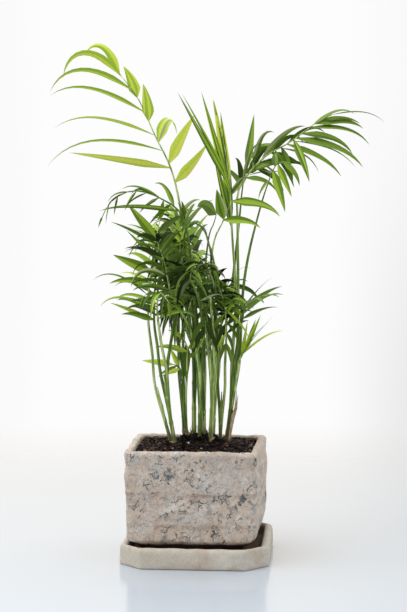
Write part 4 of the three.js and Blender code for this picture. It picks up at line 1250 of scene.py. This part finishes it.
# Marks on a side of the pot: how far along the side and how high, in mm, how wide, and how strong.
BLEACHED = (
    (14, 84, 15, 0.7), (30, 80, 16, 0.7), (-20, 63, 11, 0.7), (-3, 47, 11, 0.6), (12, 50, 9, 0.6),
    (44, 92, 9, 0.4), (-44, 40, 9, 0.5), (2, 30, 9, 0.5), (-30, 96, 8, 0.4), (38, 40, 9, 0.4),
    (56, 58, 8, 0.5), (-10, 76, 8, 0.5),
)
STAINS = (
    (-37, 91, 6, 0.9), (-23, 90, 7, 0.9), (-26, 66, 5, 0.45), (48.5, 69, 4.5, 1.8), (46, 63.5, 2.5, 1.4),
    (21, 66, 3.4, 1.2), (30.5, 68, 6, 0.4), (-26, 50, 6, 0.5), (40, 56.5, 6, 0.4), (3, 66, 6, 0.45),
    (-28, 27, 6, 0.6), (19.5, 31.5, 5, 0.4), (15.5, 54, 5, 0.35), (57, 99, 4, 0.35), (-1, 86, 5, 0.3),
)
CRACKED = (
    (-38, 89, 8, 1), (-44, 83, 7, 0.9), (-24, 89, 8, 1), (-2, 89, 9, 1), (0, 78, 7, 0.9),
    (-14, 106, 7, 0.9), (-32, 104, 7, 0.9), (6, 102, 8, 0.9), (-59, 108, 7, 0.9), (-55, 60, 7, 0.7),
    (-50, 51, 6, 0.7), (-26, 51, 8, 0.9), (-8, 50, 8, 0.9), (-14, 32, 8, 0.9), (-28, 38, 6, 0.8),
    (-5, 28, 7, 0.8), (20, 34, 7, 0.9), (25, 44, 7, 0.8), (31, 50, 8, 0.9), (39, 56, 7, 0.8),
    (31, 68, 10, 1), (3, 64, 9, 0.8), (-16, 65, 7, 0.7), (54, 77, 6, 0.9), (61, 42, 5, 0.9),
    (62, 105, 6, 0.9), (62, 84, 6, 0.9), (46, 103, 6, 0.7), (-38, 74, 5, 0.8), (14, 90, 5, 0.5),
)


def marked(wires, flat, marks):
    """How far each place of a side lies inside one of its marks."""
    shares = []
    for along, up, radius, strength in marks:
        away = wires.vector("DISTANCE", {0: flat, 1: (along * MM, 0, up * MM)})["Value"]
        shares.append(wires.ramp(away, radius * MM, radius * 0.5 * MM, 0.0, strength))
    return reduce(wires.most, shares)


def side_places(wires, parts):
    """The place along a side of the pot and up it, with the marks of the other pair of sides upside down."""
    wide = wires.math("ABSOLUTE", parts[0])
    deep = wires.math("ABSOLUTE", parts[1])
    is_side = wires.math("GREATER_THAN", wide, deep)
    along = wires.node("ShaderNodeMix", {0: is_side, 2: parts[0], 3: parts[1]}).outputs[0]
    flipped = wires.minus(UPSIDE_DOWN, parts[2])
    up = wires.node("ShaderNodeMix", {0: is_side, 2: parts[2], 3: flipped}).outputs[0]
    return wires.node("ShaderNodeCombineXYZ", {0: along, 1: 0.0, 2: up}).outputs[0], wires.most(wide, deep)


def clay_material(scene):
    """The pot's clay: slip in patches, clusters of cracks with painted highlights beside them, blue grey
    stains, soaked by soil and saucer, and painted shadow under its seams, inside the rim and at the foot.
    """
    finish = scene.catpalm_finish
    levels = heights(scene)
    material, wires, shader = new_material("Rustic clay")
    place = wires.place()
    body = wires.use(
        "Clay body", Vector=place, Body=finish.clay, Pale=finish.clay_pale, Warm=finish.clay_warm,
        Cool=finish.clay_grey, Mottle=58.0, Grit=0.4, Shade=0.68,
    )
    parts = wires.parts(place)
    flat, reach = side_places(wires, parts)
    ragged = wires.wavy(flat, 210.0, 0.011)
    bleached = marked(wires, wires.wavy(flat, 70.0, 0.02), BLEACHED)
    tint = wires.blend(bleached, body["Color"], wires.blend(0.5, body["Color"], finish.clay_bleached))
    patchy = wires.spread(wires.noise(place, 300.0, 3.0, 0.7), 0.38, 0.54, 0.2, 1.0)
    stained = wires.times(marked(wires, ragged, STAINS), patchy)
    tint = wires.blend(stained, tint, finish.clay_blue)

    # Painted shadow: a brown line along each coil seam, for the shade under the ledge above it.
    bent = wires.parts(wires.wavy(place, 32.0, 0.009))[2]
    away = [wires.math("ABSOLUTE", wires.minus(bent, (levels.base + up - 2) * MM)) for up in SEAMS]
    seams = reduce(wires.most, [wires.spread(distance, 0.0034, 0.0004) for distance in away])
    seams = wires.times(seams, wires.spread(wires.noise(place, 40.0, 3.0), 0.42, 0.6, 0.0, 0.5))
    tint = wires.blend(seams, tint, finish.clay_brown)

    clusters = marked(wires, wires.wavy(flat, 150.0, 0.014), CRACKED)
    loose = wires.spread(wires.noise(place, 60.0, 3.0, 0.6), 0.54, 0.68, 0.0, 0.8)
    clusters = wires.most(clusters, loose)
    kept = wires.ramp(clusters, 0.0, 1.0, 0.2, 0.62)
    wide = wires.use("Clay cracks", Vector=place, Scale=150.0, Width=0.042, Kept=kept)
    fine = wires.use("Clay cracks", Vector=place, Scale=300.0, Width=0.06, Kept=kept)
    cracks = wires.most(wide["Mask"], wires.times(fine["Mask"], 0.6))
    crazed = wires.ramp(bleached, 0.0, 1.0, 0.5, 0.7)
    hair = wires.use("Clay cracks", Vector=place, Scale=380.0, Width=0.08, Kept=crazed)
    cracks = wires.most(cracks, wires.times(hair["Mask"], 0.22))
    lifted = wires.most(wide["Lifted"], wires.times(fine["Lifted"], 0.7))
    lifted = wires.most(lifted, wires.times(hair["Lifted"], 0.5))
    # Pale slip and painted highlight: the raised edges beside the cracks are drawn pale, as where they catch
    # the light.
    tint = wires.blend(wires.times(lifted, 0.75), tint, finish.clay_pale)
    # The cracks drawn dark: dirt and painted shade in their crevices.
    tint = wires.blend(wires.times(cracks, 0.92), tint, finish.crack)

    # Moist clay and painted shade: darker down the inside of the rim.
    inside = wires.spread(reach, *INNER_EDGE)
    low = wires.spread(parts[2], (levels.rim - 1) * MM, (levels.rim - 3.5) * MM)
    tint = wires.blend(wires.times(wires.times(inside, low), 0.75), tint, finish.damp)
    # Soaked clay and painted shadow: the undercut foot is darkened where it hides over the saucer's well.
    bent = wires.parts(wires.wavy(place, 45.0, 0.006))[2]
    under = wires.spread(bent, (levels.base + 15.5) * MM, (levels.base + 12.5) * MM, 0.0, 0.92)
    tint = wires.blend(under, tint, finish.wet_shadow)
    height = wires.plus(body["Height"], wires.times(cracks, -1.2))
    height = wires.plus(height, wires.times(lifted, 0.3))
    dress(wires, shader, tint, body["Roughness"], CLAY_GLOSS, height, 0.0011)
    return material


def saucer_material(scene):
    """The saucer's clay: smoother and greyer than the pot's, and darker in the well: moist clay with painted
    shade.
    """
    finish = scene.catpalm_finish
    size = in_mm(scene.catpalm_saucer)
    material, wires, shader = new_material("Saucer clay")
    place = wires.place()
    body = wires.use(
        "Clay body", Vector=place, Body=finish.saucer, Pale=finish.saucer_pale,
        Warm=finish.saucer_warm, Cool=finish.saucer_grey, Mottle=34.0, Grit=0.22, Shade=0.88,
    )
    cracks = wires.use("Clay cracks", Vector=place, Scale=140.0, Width=0.04, Kept=0.35)["Mask"]
    cracks = wires.times(cracks, wires.spread(wires.noise(place, 50.0, 3.0), 0.6, 0.68, 0.0, 0.6))
    # The saucer's cracks drawn dark: dirt and painted shade in their crevices.
    tint = wires.blend(cracks, body["Color"], finish.crack)
    parts = wires.parts(place)
    across = wires.math("ABSOLUTE", parts[0])
    away = wires.math("ABSOLUTE", parts[1])
    half_w = (size.width / 2 - size.rim) * MM
    half_d = (size.depth / 2 - size.rim) * MM
    reach = wires.most(wires.math("DIVIDE", across, half_w), wires.math("DIVIDE", away, half_d))
    # Moist clay and painted shade: darker in the well round the pot.
    corner = wires.math("DIVIDE", wires.plus(across, away), half_w + half_d - WELL_CUT)
    well = wires.spread(wires.most(reach, corner), 1.04, 0.99)
    low = wires.spread(parts[2], (size.height - 0.5) * MM, (size.height - 5) * MM)
    well = wires.times(wires.times(well, low), 0.9)
    tint = wires.blend(well, tint, finish.damp)
    dress(wires, shader, tint, body["Roughness"], CLAY_GLOSS, body["Height"], 0.0005)
    return material


def soil_material(scene):
    """The potting mix: near black crumbs with paler dry ones."""
    finish = scene.catpalm_finish
    material, wires, shader = new_material("Potting mix")
    place = wires.place()
    crumbs = wires.use(
        "Clay body", Vector=place, Body=finish.soil, Pale=finish.soil_pale, Warm=finish.soil,
        Cool=finish.soil, Mottle=210.0, Grit=1.0,
    )
    dress(wires, shader, crumbs["Color"], crumbs["Roughness"], DULL_GLOSS, crumbs["Height"], 0.002)
    return material


def plain_material(name, tint, glossiest, dullest, level):
    """A small piece's plain colour, dealt out piece by piece, with its gloss changing over it."""
    material, wires, shader = new_material(name)
    shader.inputs["Base Color"].default_value = (*tint, 1)
    satin = wires.use("Leaf satin", Vector=wires.place(), Glossiest=glossiest, Dullest=dullest)
    wires.feed(shader.inputs["Roughness"], satin["Roughness"])
    shader.inputs["Specular IOR Level"].default_value = level
    return material


def stem_material(scene, name, body, streak, foot):
    """A streaked green stem, brown where it leaves the soil."""
    material, wires, shader = new_material(name)
    place = wires.place()
    # The pale streaks are partly painted highlights running up the stem.
    streaks = wires.use("Streaks", Vector=place, Body=body, Streak=streak, Fineness=480.0)
    up = wires.parts(wires.wavy(place, 90.0, 0.02))[2]
    soil = heights(scene).soil * MM
    low = wires.spread(up, soil + 0.028, soil + 0.006)
    tint = wires.blend(wires.times(low, 0.8), streaks["Color"], foot)
    dress(wires, shader, tint, streaks["Roughness"], STEM_GLOSS, streaks["Height"], 0.0003)
    return material


def stem_materials(scene):
    """The stems' greens: pale, ordinary and deep, the pale partly a painted highlight and the deep a painted
    shade.
    """
    finish = scene.catpalm_finish
    kinds = (
        ("Pale stem", finish.stem_pale, finish.stem), ("Green stem", finish.stem, finish.stem_pale),
        ("Shaded stem", finish.stem_deep, finish.stem),
    )
    return [
        bpy.data.materials.get(name) or stem_material(scene, name, body, streak, finish.stem_foot)
        for name, body, streak in kinds
    ]


def husk_material(scene):
    """Dry, papery sheath with dark veins."""
    finish = scene.catpalm_finish
    material, wires, shader = new_material("Dry sheath")
    streaks = wires.use(
        "Streaks", Vector=wires.place(), Body=finish.husk, Streak=finish.husk_dark, Fineness=1400.0
    )
    dress(wires, shader, streaks["Color"], streaks["Roughness"], DULL_GLOSS, streaks["Height"], 0.0004)
    return material


def leaf_materials(scene):
    """The leaf shades, from the brightest."""
    finish = scene.catpalm_finish
    return [
        bpy.data.materials.get("Leaf " + shade)
        or plain_material("Leaf " + shade, getattr(finish, shade), *LEAF_ROUGH, gloss)
        for shade, gloss in SHADES.items()
    ]


# ---------------------------------------------------------------- studio
# The camera: its place in metres, how far it looks down in degrees, and, in points of its view, its focal
# length, the height of the view and how far that is moved sideways. The sensor is in millimetres.
CAMERA_PLACE = (0.1287, -1.4943, 0.3412)
CAMERA_DIP = 3.47
FOCAL_LENGTH = 1500
VIEW_HEIGHT = 612
VIEW_ASIDE = 7.2
SENSOR = 36

# The soft lamp's place, aim and size, and the floor's radius and how far it lies below the saucer, in metres.
SOFTBOX_PLACE = (-0.5, -0.35, 1.35)
SOFTBOX_AIM = Vector((0, 0, 0.25))
SOFTBOX_SIZE = 0.9
FLOOR_REACH = 6
FLOOR_DROP = 0.0002


def lay_floor(studio):
    """The glossy floor, which runs out to white."""
    bm = bmesh.new()
    bmesh.ops.create_circle(bm, cap_ends=True, segments=96, radius=FLOOR_REACH)
    mesh = mesh_of(bm, "studio_floor")
    floor = add_object("studio_floor", mesh)
    material, wires, shader = new_material("Glossy floor")
    body = wires.node("ShaderNodeBsdfDiffuse", {"Color": studio.floor})
    mirror = wires.node("ShaderNodeBsdfAnisotropic", {"Color": studio.floor_shine, "Roughness": 0.14})
    share = wires.node("ShaderNodeFresnel", {"IOR": 1.5}).outputs[0]
    plain = wires.node("ShaderNodeMixShader", {0: share, 1: body.outputs[0], 2: mirror.outputs[0]})
    material.node_tree.nodes.remove(shader)
    gone = wires.node("ShaderNodeBsdfTransparent")
    away = wires.vector("LENGTH", {0: wires.place()})["Value"]
    far = wires.spread(away, studio.floor_radius * 0.7, studio.floor_radius * 2.35)
    mixed = wires.node("ShaderNodeMixShader", {0: far, 1: plain.outputs[0], 2: gone.outputs[0]})
    output = material.node_tree.nodes["Material Output"]
    wires.feed(output.inputs["Surface"], mixed.outputs[0])
    mesh.materials.append(material)
    floor.location.z = -FLOOR_DROP


def light_room(scene, studio):
    """The room all round: a white wall behind, a dimmer front, a ceiling, and dusk low on the right."""
    world = bpy.data.worlds.new("Soft studio")
    scene.world = world
    world.use_nodes = True
    wires = Wiring(world.node_tree)
    way = wires.parts(wires.node("ShaderNodeTexCoord").outputs["Generated"])
    strength = wires.spread(way[1], -0.6, 0.6, studio.from_front, studio.from_behind)
    above = wires.spread(way[2], 0.3, 0.9)
    strength = wires.plus(strength, wires.times(above, studio.from_above - studio.from_front))
    dusk = wires.times(wires.spread(way[0], -0.01, 0.075), wires.spread(way[2], 0.1, -0.16, 0.05, 0.2))
    dusk = wires.plus(dusk, wires.spread(way[0], -0.17, -0.225, 0.0, 0.04))
    wall = wires.minus(1.0, wires.times(dusk, wires.spread(way[1], 0.7, 0.97)))
    corner = wires.times(wires.spread(way[0], -0.03, 0.1, 0.0, 0.3), wires.spread(way[1], 0.7, 0.9))
    strength = wires.times(strength, wires.minus(1.0, corner))
    seen = wires.node("ShaderNodeLightPath").outputs["Is Camera Ray"]
    shown = wires.node("ShaderNodeMix", {0: seen, 2: strength, 3: wall}).outputs[0]
    background = world.node_tree.nodes["Background"]
    background.inputs["Color"].default_value = (0.985, 0.985, 0.985, 1)
    wires.feed(background.inputs["Strength"], shown)


def hang_softbox(studio):
    """The soft lamp above, a little to the left and in front."""
    lamp = bpy.data.lights.new("Softbox", "AREA")
    lamp.energy = studio.softbox
    lamp.size = SOFTBOX_SIZE
    softbox = add_object("Softbox", lamp)
    softbox.location = SOFTBOX_PLACE
    softbox.rotation_euler = (SOFTBOX_AIM - softbox.location).to_track_quat("-Z", "Y").to_euler()


def aim_camera(scene):
    """The camera, at two thirds of the plant's height and looking a little down."""
    view = bpy.data.cameras.new("Camera")
    view.sensor_width = SENSOR
    view.lens = FOCAL_LENGTH / VIEW_HEIGHT * SENSOR
    view.clip_start = 0.05
    view.clip_end = 30
    camera = add_object("Camera", view)
    scene.camera = camera
    turn = math.radians(CLUMP_TURN) - math.atan(VIEW_ASIDE / FOCAL_LENGTH)
    dip = math.radians(CAMERA_DIP)
    look = Vector((-math.sin(turn) * math.cos(dip), math.cos(turn) * math.cos(dip), -math.sin(dip)))
    camera.location = CAMERA_PLACE
    camera.rotation_euler = look.to_track_quat("-Z", "Y").to_euler()


# ---------------------------------------------------------------- operators
SOIL_ROWS = 48  # steps from the soil's middle to its edge, then down its side, and round it
SOIL_SKIRT = 3
SOIL_ROUND = 200

# The kinds of chip on the soil with their colours, and how the ordinary ones are dealt.
CHIPS = {
    "Bark": (36, 22, 16), "Reddish bark": (74, 47, 35), "Peat": (10, 7, 6), "Straw": (116, 93, 74),
    "Pale grain": (196, 188, 176),
}
CHIP_DEAL = (0, 2, 1, 2, 0, 2, 3, 2, 1, 2, 0, 2, 2)
PEAT = 2
PALE_GRAIN = 4
FIBRES = 0.7  # the chances above which a chip is a fibre and a pale grain
PALE_GRAINS = 0.99
HEAPED = 7  # one chip in so many lies heaped up between the canes

RINGS = (0.2, 0.44, 0.72)  # shares of a cane's length at which it has a ring

# The dry sheaths: the cane, how far over the soil each starts and ends, the side it is on and how far it goes
# round, in degrees, and how much it stands off at its top.
SHEATHS = (
    ("right_outer", 2, 62, -114, 100, 2.3), ("middle_left", 1, 11, 110, 150, 0.9),
    ("left_front", 0, 9, 30, 140, 0.8), ("middle", 1, 9, 200, 120, 0.8),
    ("middle_right", 0, 6, 250, 120, 0.6), ("left_back", 1, 14, 90, 150, 0.9),
    ("back_right", 1, 20, 60, 150, 1.1), ("left_inner", 0, 5, 300, 110, 0.5), ("back", 1, 24, 120, 160, 1),
)


class CATPALM_OT_groups(bpy.types.Operator):
    """Make the node groups that the materials share"""

    bl_idname = "catpalm.groups"
    bl_label = "Shared patterns"

    def execute(self, context):
        for make in (make_clay_body, make_clay_cracks, make_streaks, make_leaf_satin):
            make()
        return {"FINISHED"}


class CATPALM_OT_saucer(bpy.types.Operator):
    """Form the saucer: a square with cut corners and a shallow well"""

    bl_idname = "catpalm.saucer"
    bl_label = "Saucer"

    def execute(self, context):
        size = in_mm(context.scene.catpalm_saucer)
        rows = saucer_profile(size)

        def corner(turn, step):
            shrink, inset, z, relief = rows[round(step * (len(rows) - 1))]
            flat = octagon_place(turn, size.width - 2 * inset, size.depth - 2 * inset, size.cut - 1.2 * inset)
            return Vector((flat.x * shrink, flat.y * shrink, z)), relief

        bm = bmesh.new()
        relief = skin(bm, 4 * (LONG_SIDE + CUT_SIDE), len(rows) - 1, corner)
        soft = [vertex for vertex in bm.verts if vertex[relief] > 0.1]
        for _ in range(3):
            bmesh.ops.smooth_vert(
                bm, verts=soft, factor=0.5, use_axis_x=True, use_axis_y=True, use_axis_z=True
            )
        roughen(bm, relief, lambda place: size.lumps * clay_height(place, 70, 0.12))
        new_piece(bm, "saucer_plate", [saucer_material(context.scene)], ["saucer"])
        return {"FINISHED"}


class CATPALM_OT_pot(bpy.types.Operator):
    """Form the square pot by hand: an uneven wall, a soft rim and a rounded foot"""

    bl_idname = "catpalm.pot"
    bl_label = "Pot"

    def execute(self, context):
        size = in_mm(context.scene.catpalm_pot)
        base = heights(context.scene).base
        rows = pot_profile(size)

        def corner(turn, step):
            half, z, sharp, hand, relief = rows[round(step * (len(rows) - 1))]
            flat = square_place(turn, half, sharp)
            formed = handmade(size, Vector((flat.x, flat.y, z)), hand)
            return formed + Vector((OFF_CENTRE, 0, base)), relief

        bm = bmesh.new()
        relief = skin(bm, 4 * POT_SIDE, len(rows) - 1, corner)
        ledges = [(base + up, reach, depth) for up, reach, depth in LEDGES]
        roughen(bm, relief, lambda place: size.lumps * clay_height(place, 12, 0.3, ledges))
        new_piece(bm, "pot_walls", [clay_material(context.scene)], ["pot"])
        return {"FINISHED"}


class CATPALM_OT_soil(bpy.types.Operator):
    """Fill the pot with potting mix, and lay bark chips, fibres and pale grains on it"""

    bl_idname = "catpalm.soil"
    bl_label = "Soil"

    def execute(self, context):
        scene = context.scene
        size = in_mm(scene.catpalm_pot)
        half = room_half(size, size.height - 3) - 0.2
        rows = SOIL_ROWS + SOIL_SKIRT

        def corner(turn, step):
            row = round(step * rows)
            share = min(1, row / SOIL_ROWS)
            flat = square_place(turn, half * share, lerp(2.2, ROOM_CORNER, share))
            place = handmade(size, Vector((flat.x, flat.y, size.height)), 0) + Vector((OFF_CENTRE, 0, 0))
            place.z = soil_height(scene, place.x, place.y) - max(0, row - SOIL_ROWS) * 3
            return place, 1 if share < 1 else 0

        bm = bmesh.new()
        relief = skin(bm, SOIL_ROUND, rows, corner)
        roughen(bm, relief, lambda p: 1.8 * noise.noise(p * 0.24) + 1.4 * noise.noise(p * 0.6))
        bmesh.ops.holes_fill(bm, edges=[edge for edge in bm.edges if edge.is_boundary], sides=0)
        new_piece(bm, "soil_mix", [soil_material(scene)], ["soil"])

        bm = bmesh.new()
        for number in range(scene.catpalm_plant.bark_chips):
            x = chance(number * 3.1) * (half - 2.5)
            y = chance(number * 5.7 + 2) * (half - 2.5)
            heaped = number % HEAPED == 0
            if heaped:
                x, y = x * 0.3 + 2, y * 0.3 + 4
            x = x * (1 + size.back / size.width * (0.5 + y / size.width)) + OFF_CENTRE
            fibre = chance(number * 2.3 + 5) > FIBRES
            pale = chance(number * 4.9 + 1) > PALE_GRAINS
            share = abs(chance(number + 0.3))
            long = 6 + 5 * share if fibre else 2.6 + 3.4 * share
            wide = 0.5 if fibre else 1.4 + 0.9 * chance(number + 0.6)
            thick = 0.4 if fibre else 0.9 + 0.4 * chance(number + 0.9)
            slot = PEAT if heaped else CHIP_DEAL[number % len(CHIP_DEAL)]
            if pale:
                long, wide, thick, slot = 1.9, 1.4, 1.1, PALE_GRAIN
            lift = 0.4 + 1.1 * abs(chance(number * 9.1)) + (2.6 * abs(chance(number * 1.7)) if heaped else 0)
            at = Vector((x, y, soil_height(scene, x, y) + lift))
            turn = math.pi * chance(number * 6.1)
            tip = (0.9 if heaped else 0.4) * chance(number * 8.3)
            chip(bm, at, (long, wide, thick), turn, tip, number, slot)
        materials = [
            plain_material(name, paint(*tint), *CHIP_ROUGH, CLAY_GLOSS) for name, tint in CHIPS.items()
        ]
        new_piece(bm, "soil_chips", materials)
        return {"FINISHED"}


class CATPALM_OT_stems(bpy.types.Operator):
    """Raise the canes with their rings, and the dry sheaths at their feet"""

    bl_idname = "catpalm.stems"
    bl_label = "Stems"

    def execute(self, context):
        scene = context.scene
        ring = in_mm(scene.catpalm_plant).stem_ring
        bm = bmesh.new()
        for number, (name, cane) in enumerate(CANES.items()):
            line = cane_line(scene, cane, CANE_STEPS)
            radii = []
            for step in range(CANE_STEPS + 1):
                share = step / CANE_STEPS
                radius = SLIM * lerp(cane.base, cane.top, share)
                for level in RINGS:
                    away = (share - level - 0.06 * chance(number * 5 + level * 10)) * line.run[-1]
                    radius += ring * math.exp(-((away / 1.6) ** 2)) - 0.35 * ring * smoothstep(away, 0, 3)
                radii.append(radius * lerp(1, 0.3, smoothstep(share, 0.7, 1)))

            def grooves(share, angle, number=number):
                coarse = 0.1 * math.cos(4 * angle + number)
                return coarse + 0.07 * math.cos(7 * angle + 2 * number + 3 * share)

            # Each cane is dealt the pale, ordinary or deep green: lit and shaded copies of the stem green,
            # painted light and shade.
            shade = {"left_outer": 1, "left_front": 2}.get(name, number % 3)
            limb(bm, stations_along(line.at, line.along, radii), CANE_SIDES, grooves, shade)
        canes = ["cane_" + name for name in CANES]
        new_piece(bm, "canes_green", stem_materials(scene), canes)

        bm = bmesh.new()
        for number, (name, low, high, facing, opening, flare) in enumerate(SHEATHS):
            cane = CANES[name]
            line = cane_line(scene, cane, 4)
            sheet = bmesh.ops.create_grid(bm, x_segments=8, y_segments=10, size=1)
            for vertex in sheet["verts"]:
                x, y = vertex.co.x, (vertex.co.y + 1) / 2
                torn = high * (1 - 0.3 * abs(chance(number * 11 + round(4 * (x + 1)))) - 0.25 * abs(x))
                share = (CANE_DEPTH + lerp(low, torn, y)) / line.run[-1]
                at, along = line.on(share)
                angle = math.radians(facing + x * opening / 2)
                radius = cane.base + 0.5 + flare * y * y * (0.4 + abs(x))
                vertex.co = (at + Matrix.Rotation(angle, 3, along) @ level_across(along, 0.01) * radius) * MM
                for face in vertex.link_faces:
                    face.smooth = True
        piece = new_piece(bm, "sheaths_dry", [husk_material(scene)])
        solidify = piece.modifiers.new("Paper", "SOLIDIFY")
        solidify.thickness = 0.35 * MM
        return {"FINISHED"}


class CATPALM_OT_fronds(bpy.types.Operator):
    """Grow every frond: its sheath and rib, and leaflets that keep clear of each other"""

    bl_idname = "catpalm.fronds"
    bl_label = "Fronds"

    def execute(self, context):
        scene = context.scene
        fold = scene.catpalm_plant.leaf_fold
        standing = []
        for name, cane in CANES.items():
            line = cane_line(scene, cane, 4)
            radii = [lerp(cane.base, cane.top, step / 4) for step in range(5)]
            standing.append(standing_tube(stations_along(line.at, line.along, radii), name))
        fronds = [*FRONDS, *inner_fronds()]
        ribs, leaflets = grow(scene, standing, fronds)
        slots = {"young": "leaf_young", "green": "leaf", "dark": "leaf_dark"}
        for tone in slots:
            kept = [frond for frond in fronds if frond.tone == tone]
            bm = bmesh.new()
            for frond in kept:
                stations = rib_stations(scene, frond, ribs[frond.name])
                # A rib takes the ordinary green or the deep one, a painted shade.
                limb(bm, stations, RIB_SIDES, slot=frond.seed % 2 + 1)
            nodes = ["frond_" + frond.name for frond in kept if frond in FRONDS]
            new_piece(bm, "ribs_" + tone, stem_materials(scene), nodes)
            bm = bmesh.new()
            for frond, strips, stations, wide in leaflets:
                if frond.tone == tone:
                    leaflet_sheet(bm, stations, wide, fold, strips)
            bmesh.ops.remove_doubles(bm, verts=bm.verts, dist=1e-6)
            new_piece(bm, "leaflets_" + tone, leaf_materials(scene), nodes)
        return {"FINISHED"}


class CATPALM_OT_studio(bpy.types.Operator):
    """Set the pale floor, the soft light and the camera"""

    bl_idname = "catpalm.studio"
    bl_label = "Studio"

    def execute(self, context):
        scene = context.scene
        studio = scene.catpalm_studio
        scene.view_settings.view_transform = "Standard"
        lay_floor(studio)
        light_room(scene, studio)
        hang_softbox(studio)
        aim_camera(scene)
        return {"FINISHED"}


class CATPALM_PT_sidebar(bpy.types.Panel):
    """The steps that make the palm, and what can be changed"""

    bl_label = "Cat palm"
    bl_space_type = "VIEW_3D"
    bl_region_type = "UI"
    bl_category = "Cat palm"

    def draw(self, context):
        for step in STEPS:
            self.layout.operator("catpalm." + step)
        for name in GROUPS:
            box = self.layout.box()
            box.label(text=name.replace("catpalm_", "").capitalize())
            group = getattr(context.scene, name)
            for prop in group.bl_rna.properties:
                if prop.identifier not in ("rna_type", "name"):
                    box.prop(group, prop.identifier)


STEPS = ("groups", "saucer", "pot", "soil", "stems", "fronds", "studio")
GROUPS = {
    "catpalm_saucer": SaucerSizes,
    "catpalm_pot": PotSizes,
    "catpalm_plant": PlantSizes,
    "catpalm_finish": Finishes,
    "catpalm_studio": Studio,
}
CLASSES = (
    *GROUPS.values(), CATPALM_OT_groups, CATPALM_OT_saucer, CATPALM_OT_pot, CATPALM_OT_soil,
    CATPALM_OT_stems, CATPALM_OT_fronds, CATPALM_OT_studio, CATPALM_PT_sidebar,
)


def register():
    for cls in CLASSES:
        bpy.utils.register_class(cls)
    for name, group in GROUPS.items():
        setattr(bpy.types.Scene, name, PointerProperty(type=group))


def unregister():
    for name in GROUPS:
        delattr(bpy.types.Scene, name)
    for cls in reversed(CLASSES):
        bpy.utils.unregister_class(cls)


def main():
    register()
    for step in STEPS:
        getattr(bpy.ops.catpalm, step)()


if __name__ == "__main__":
    main()
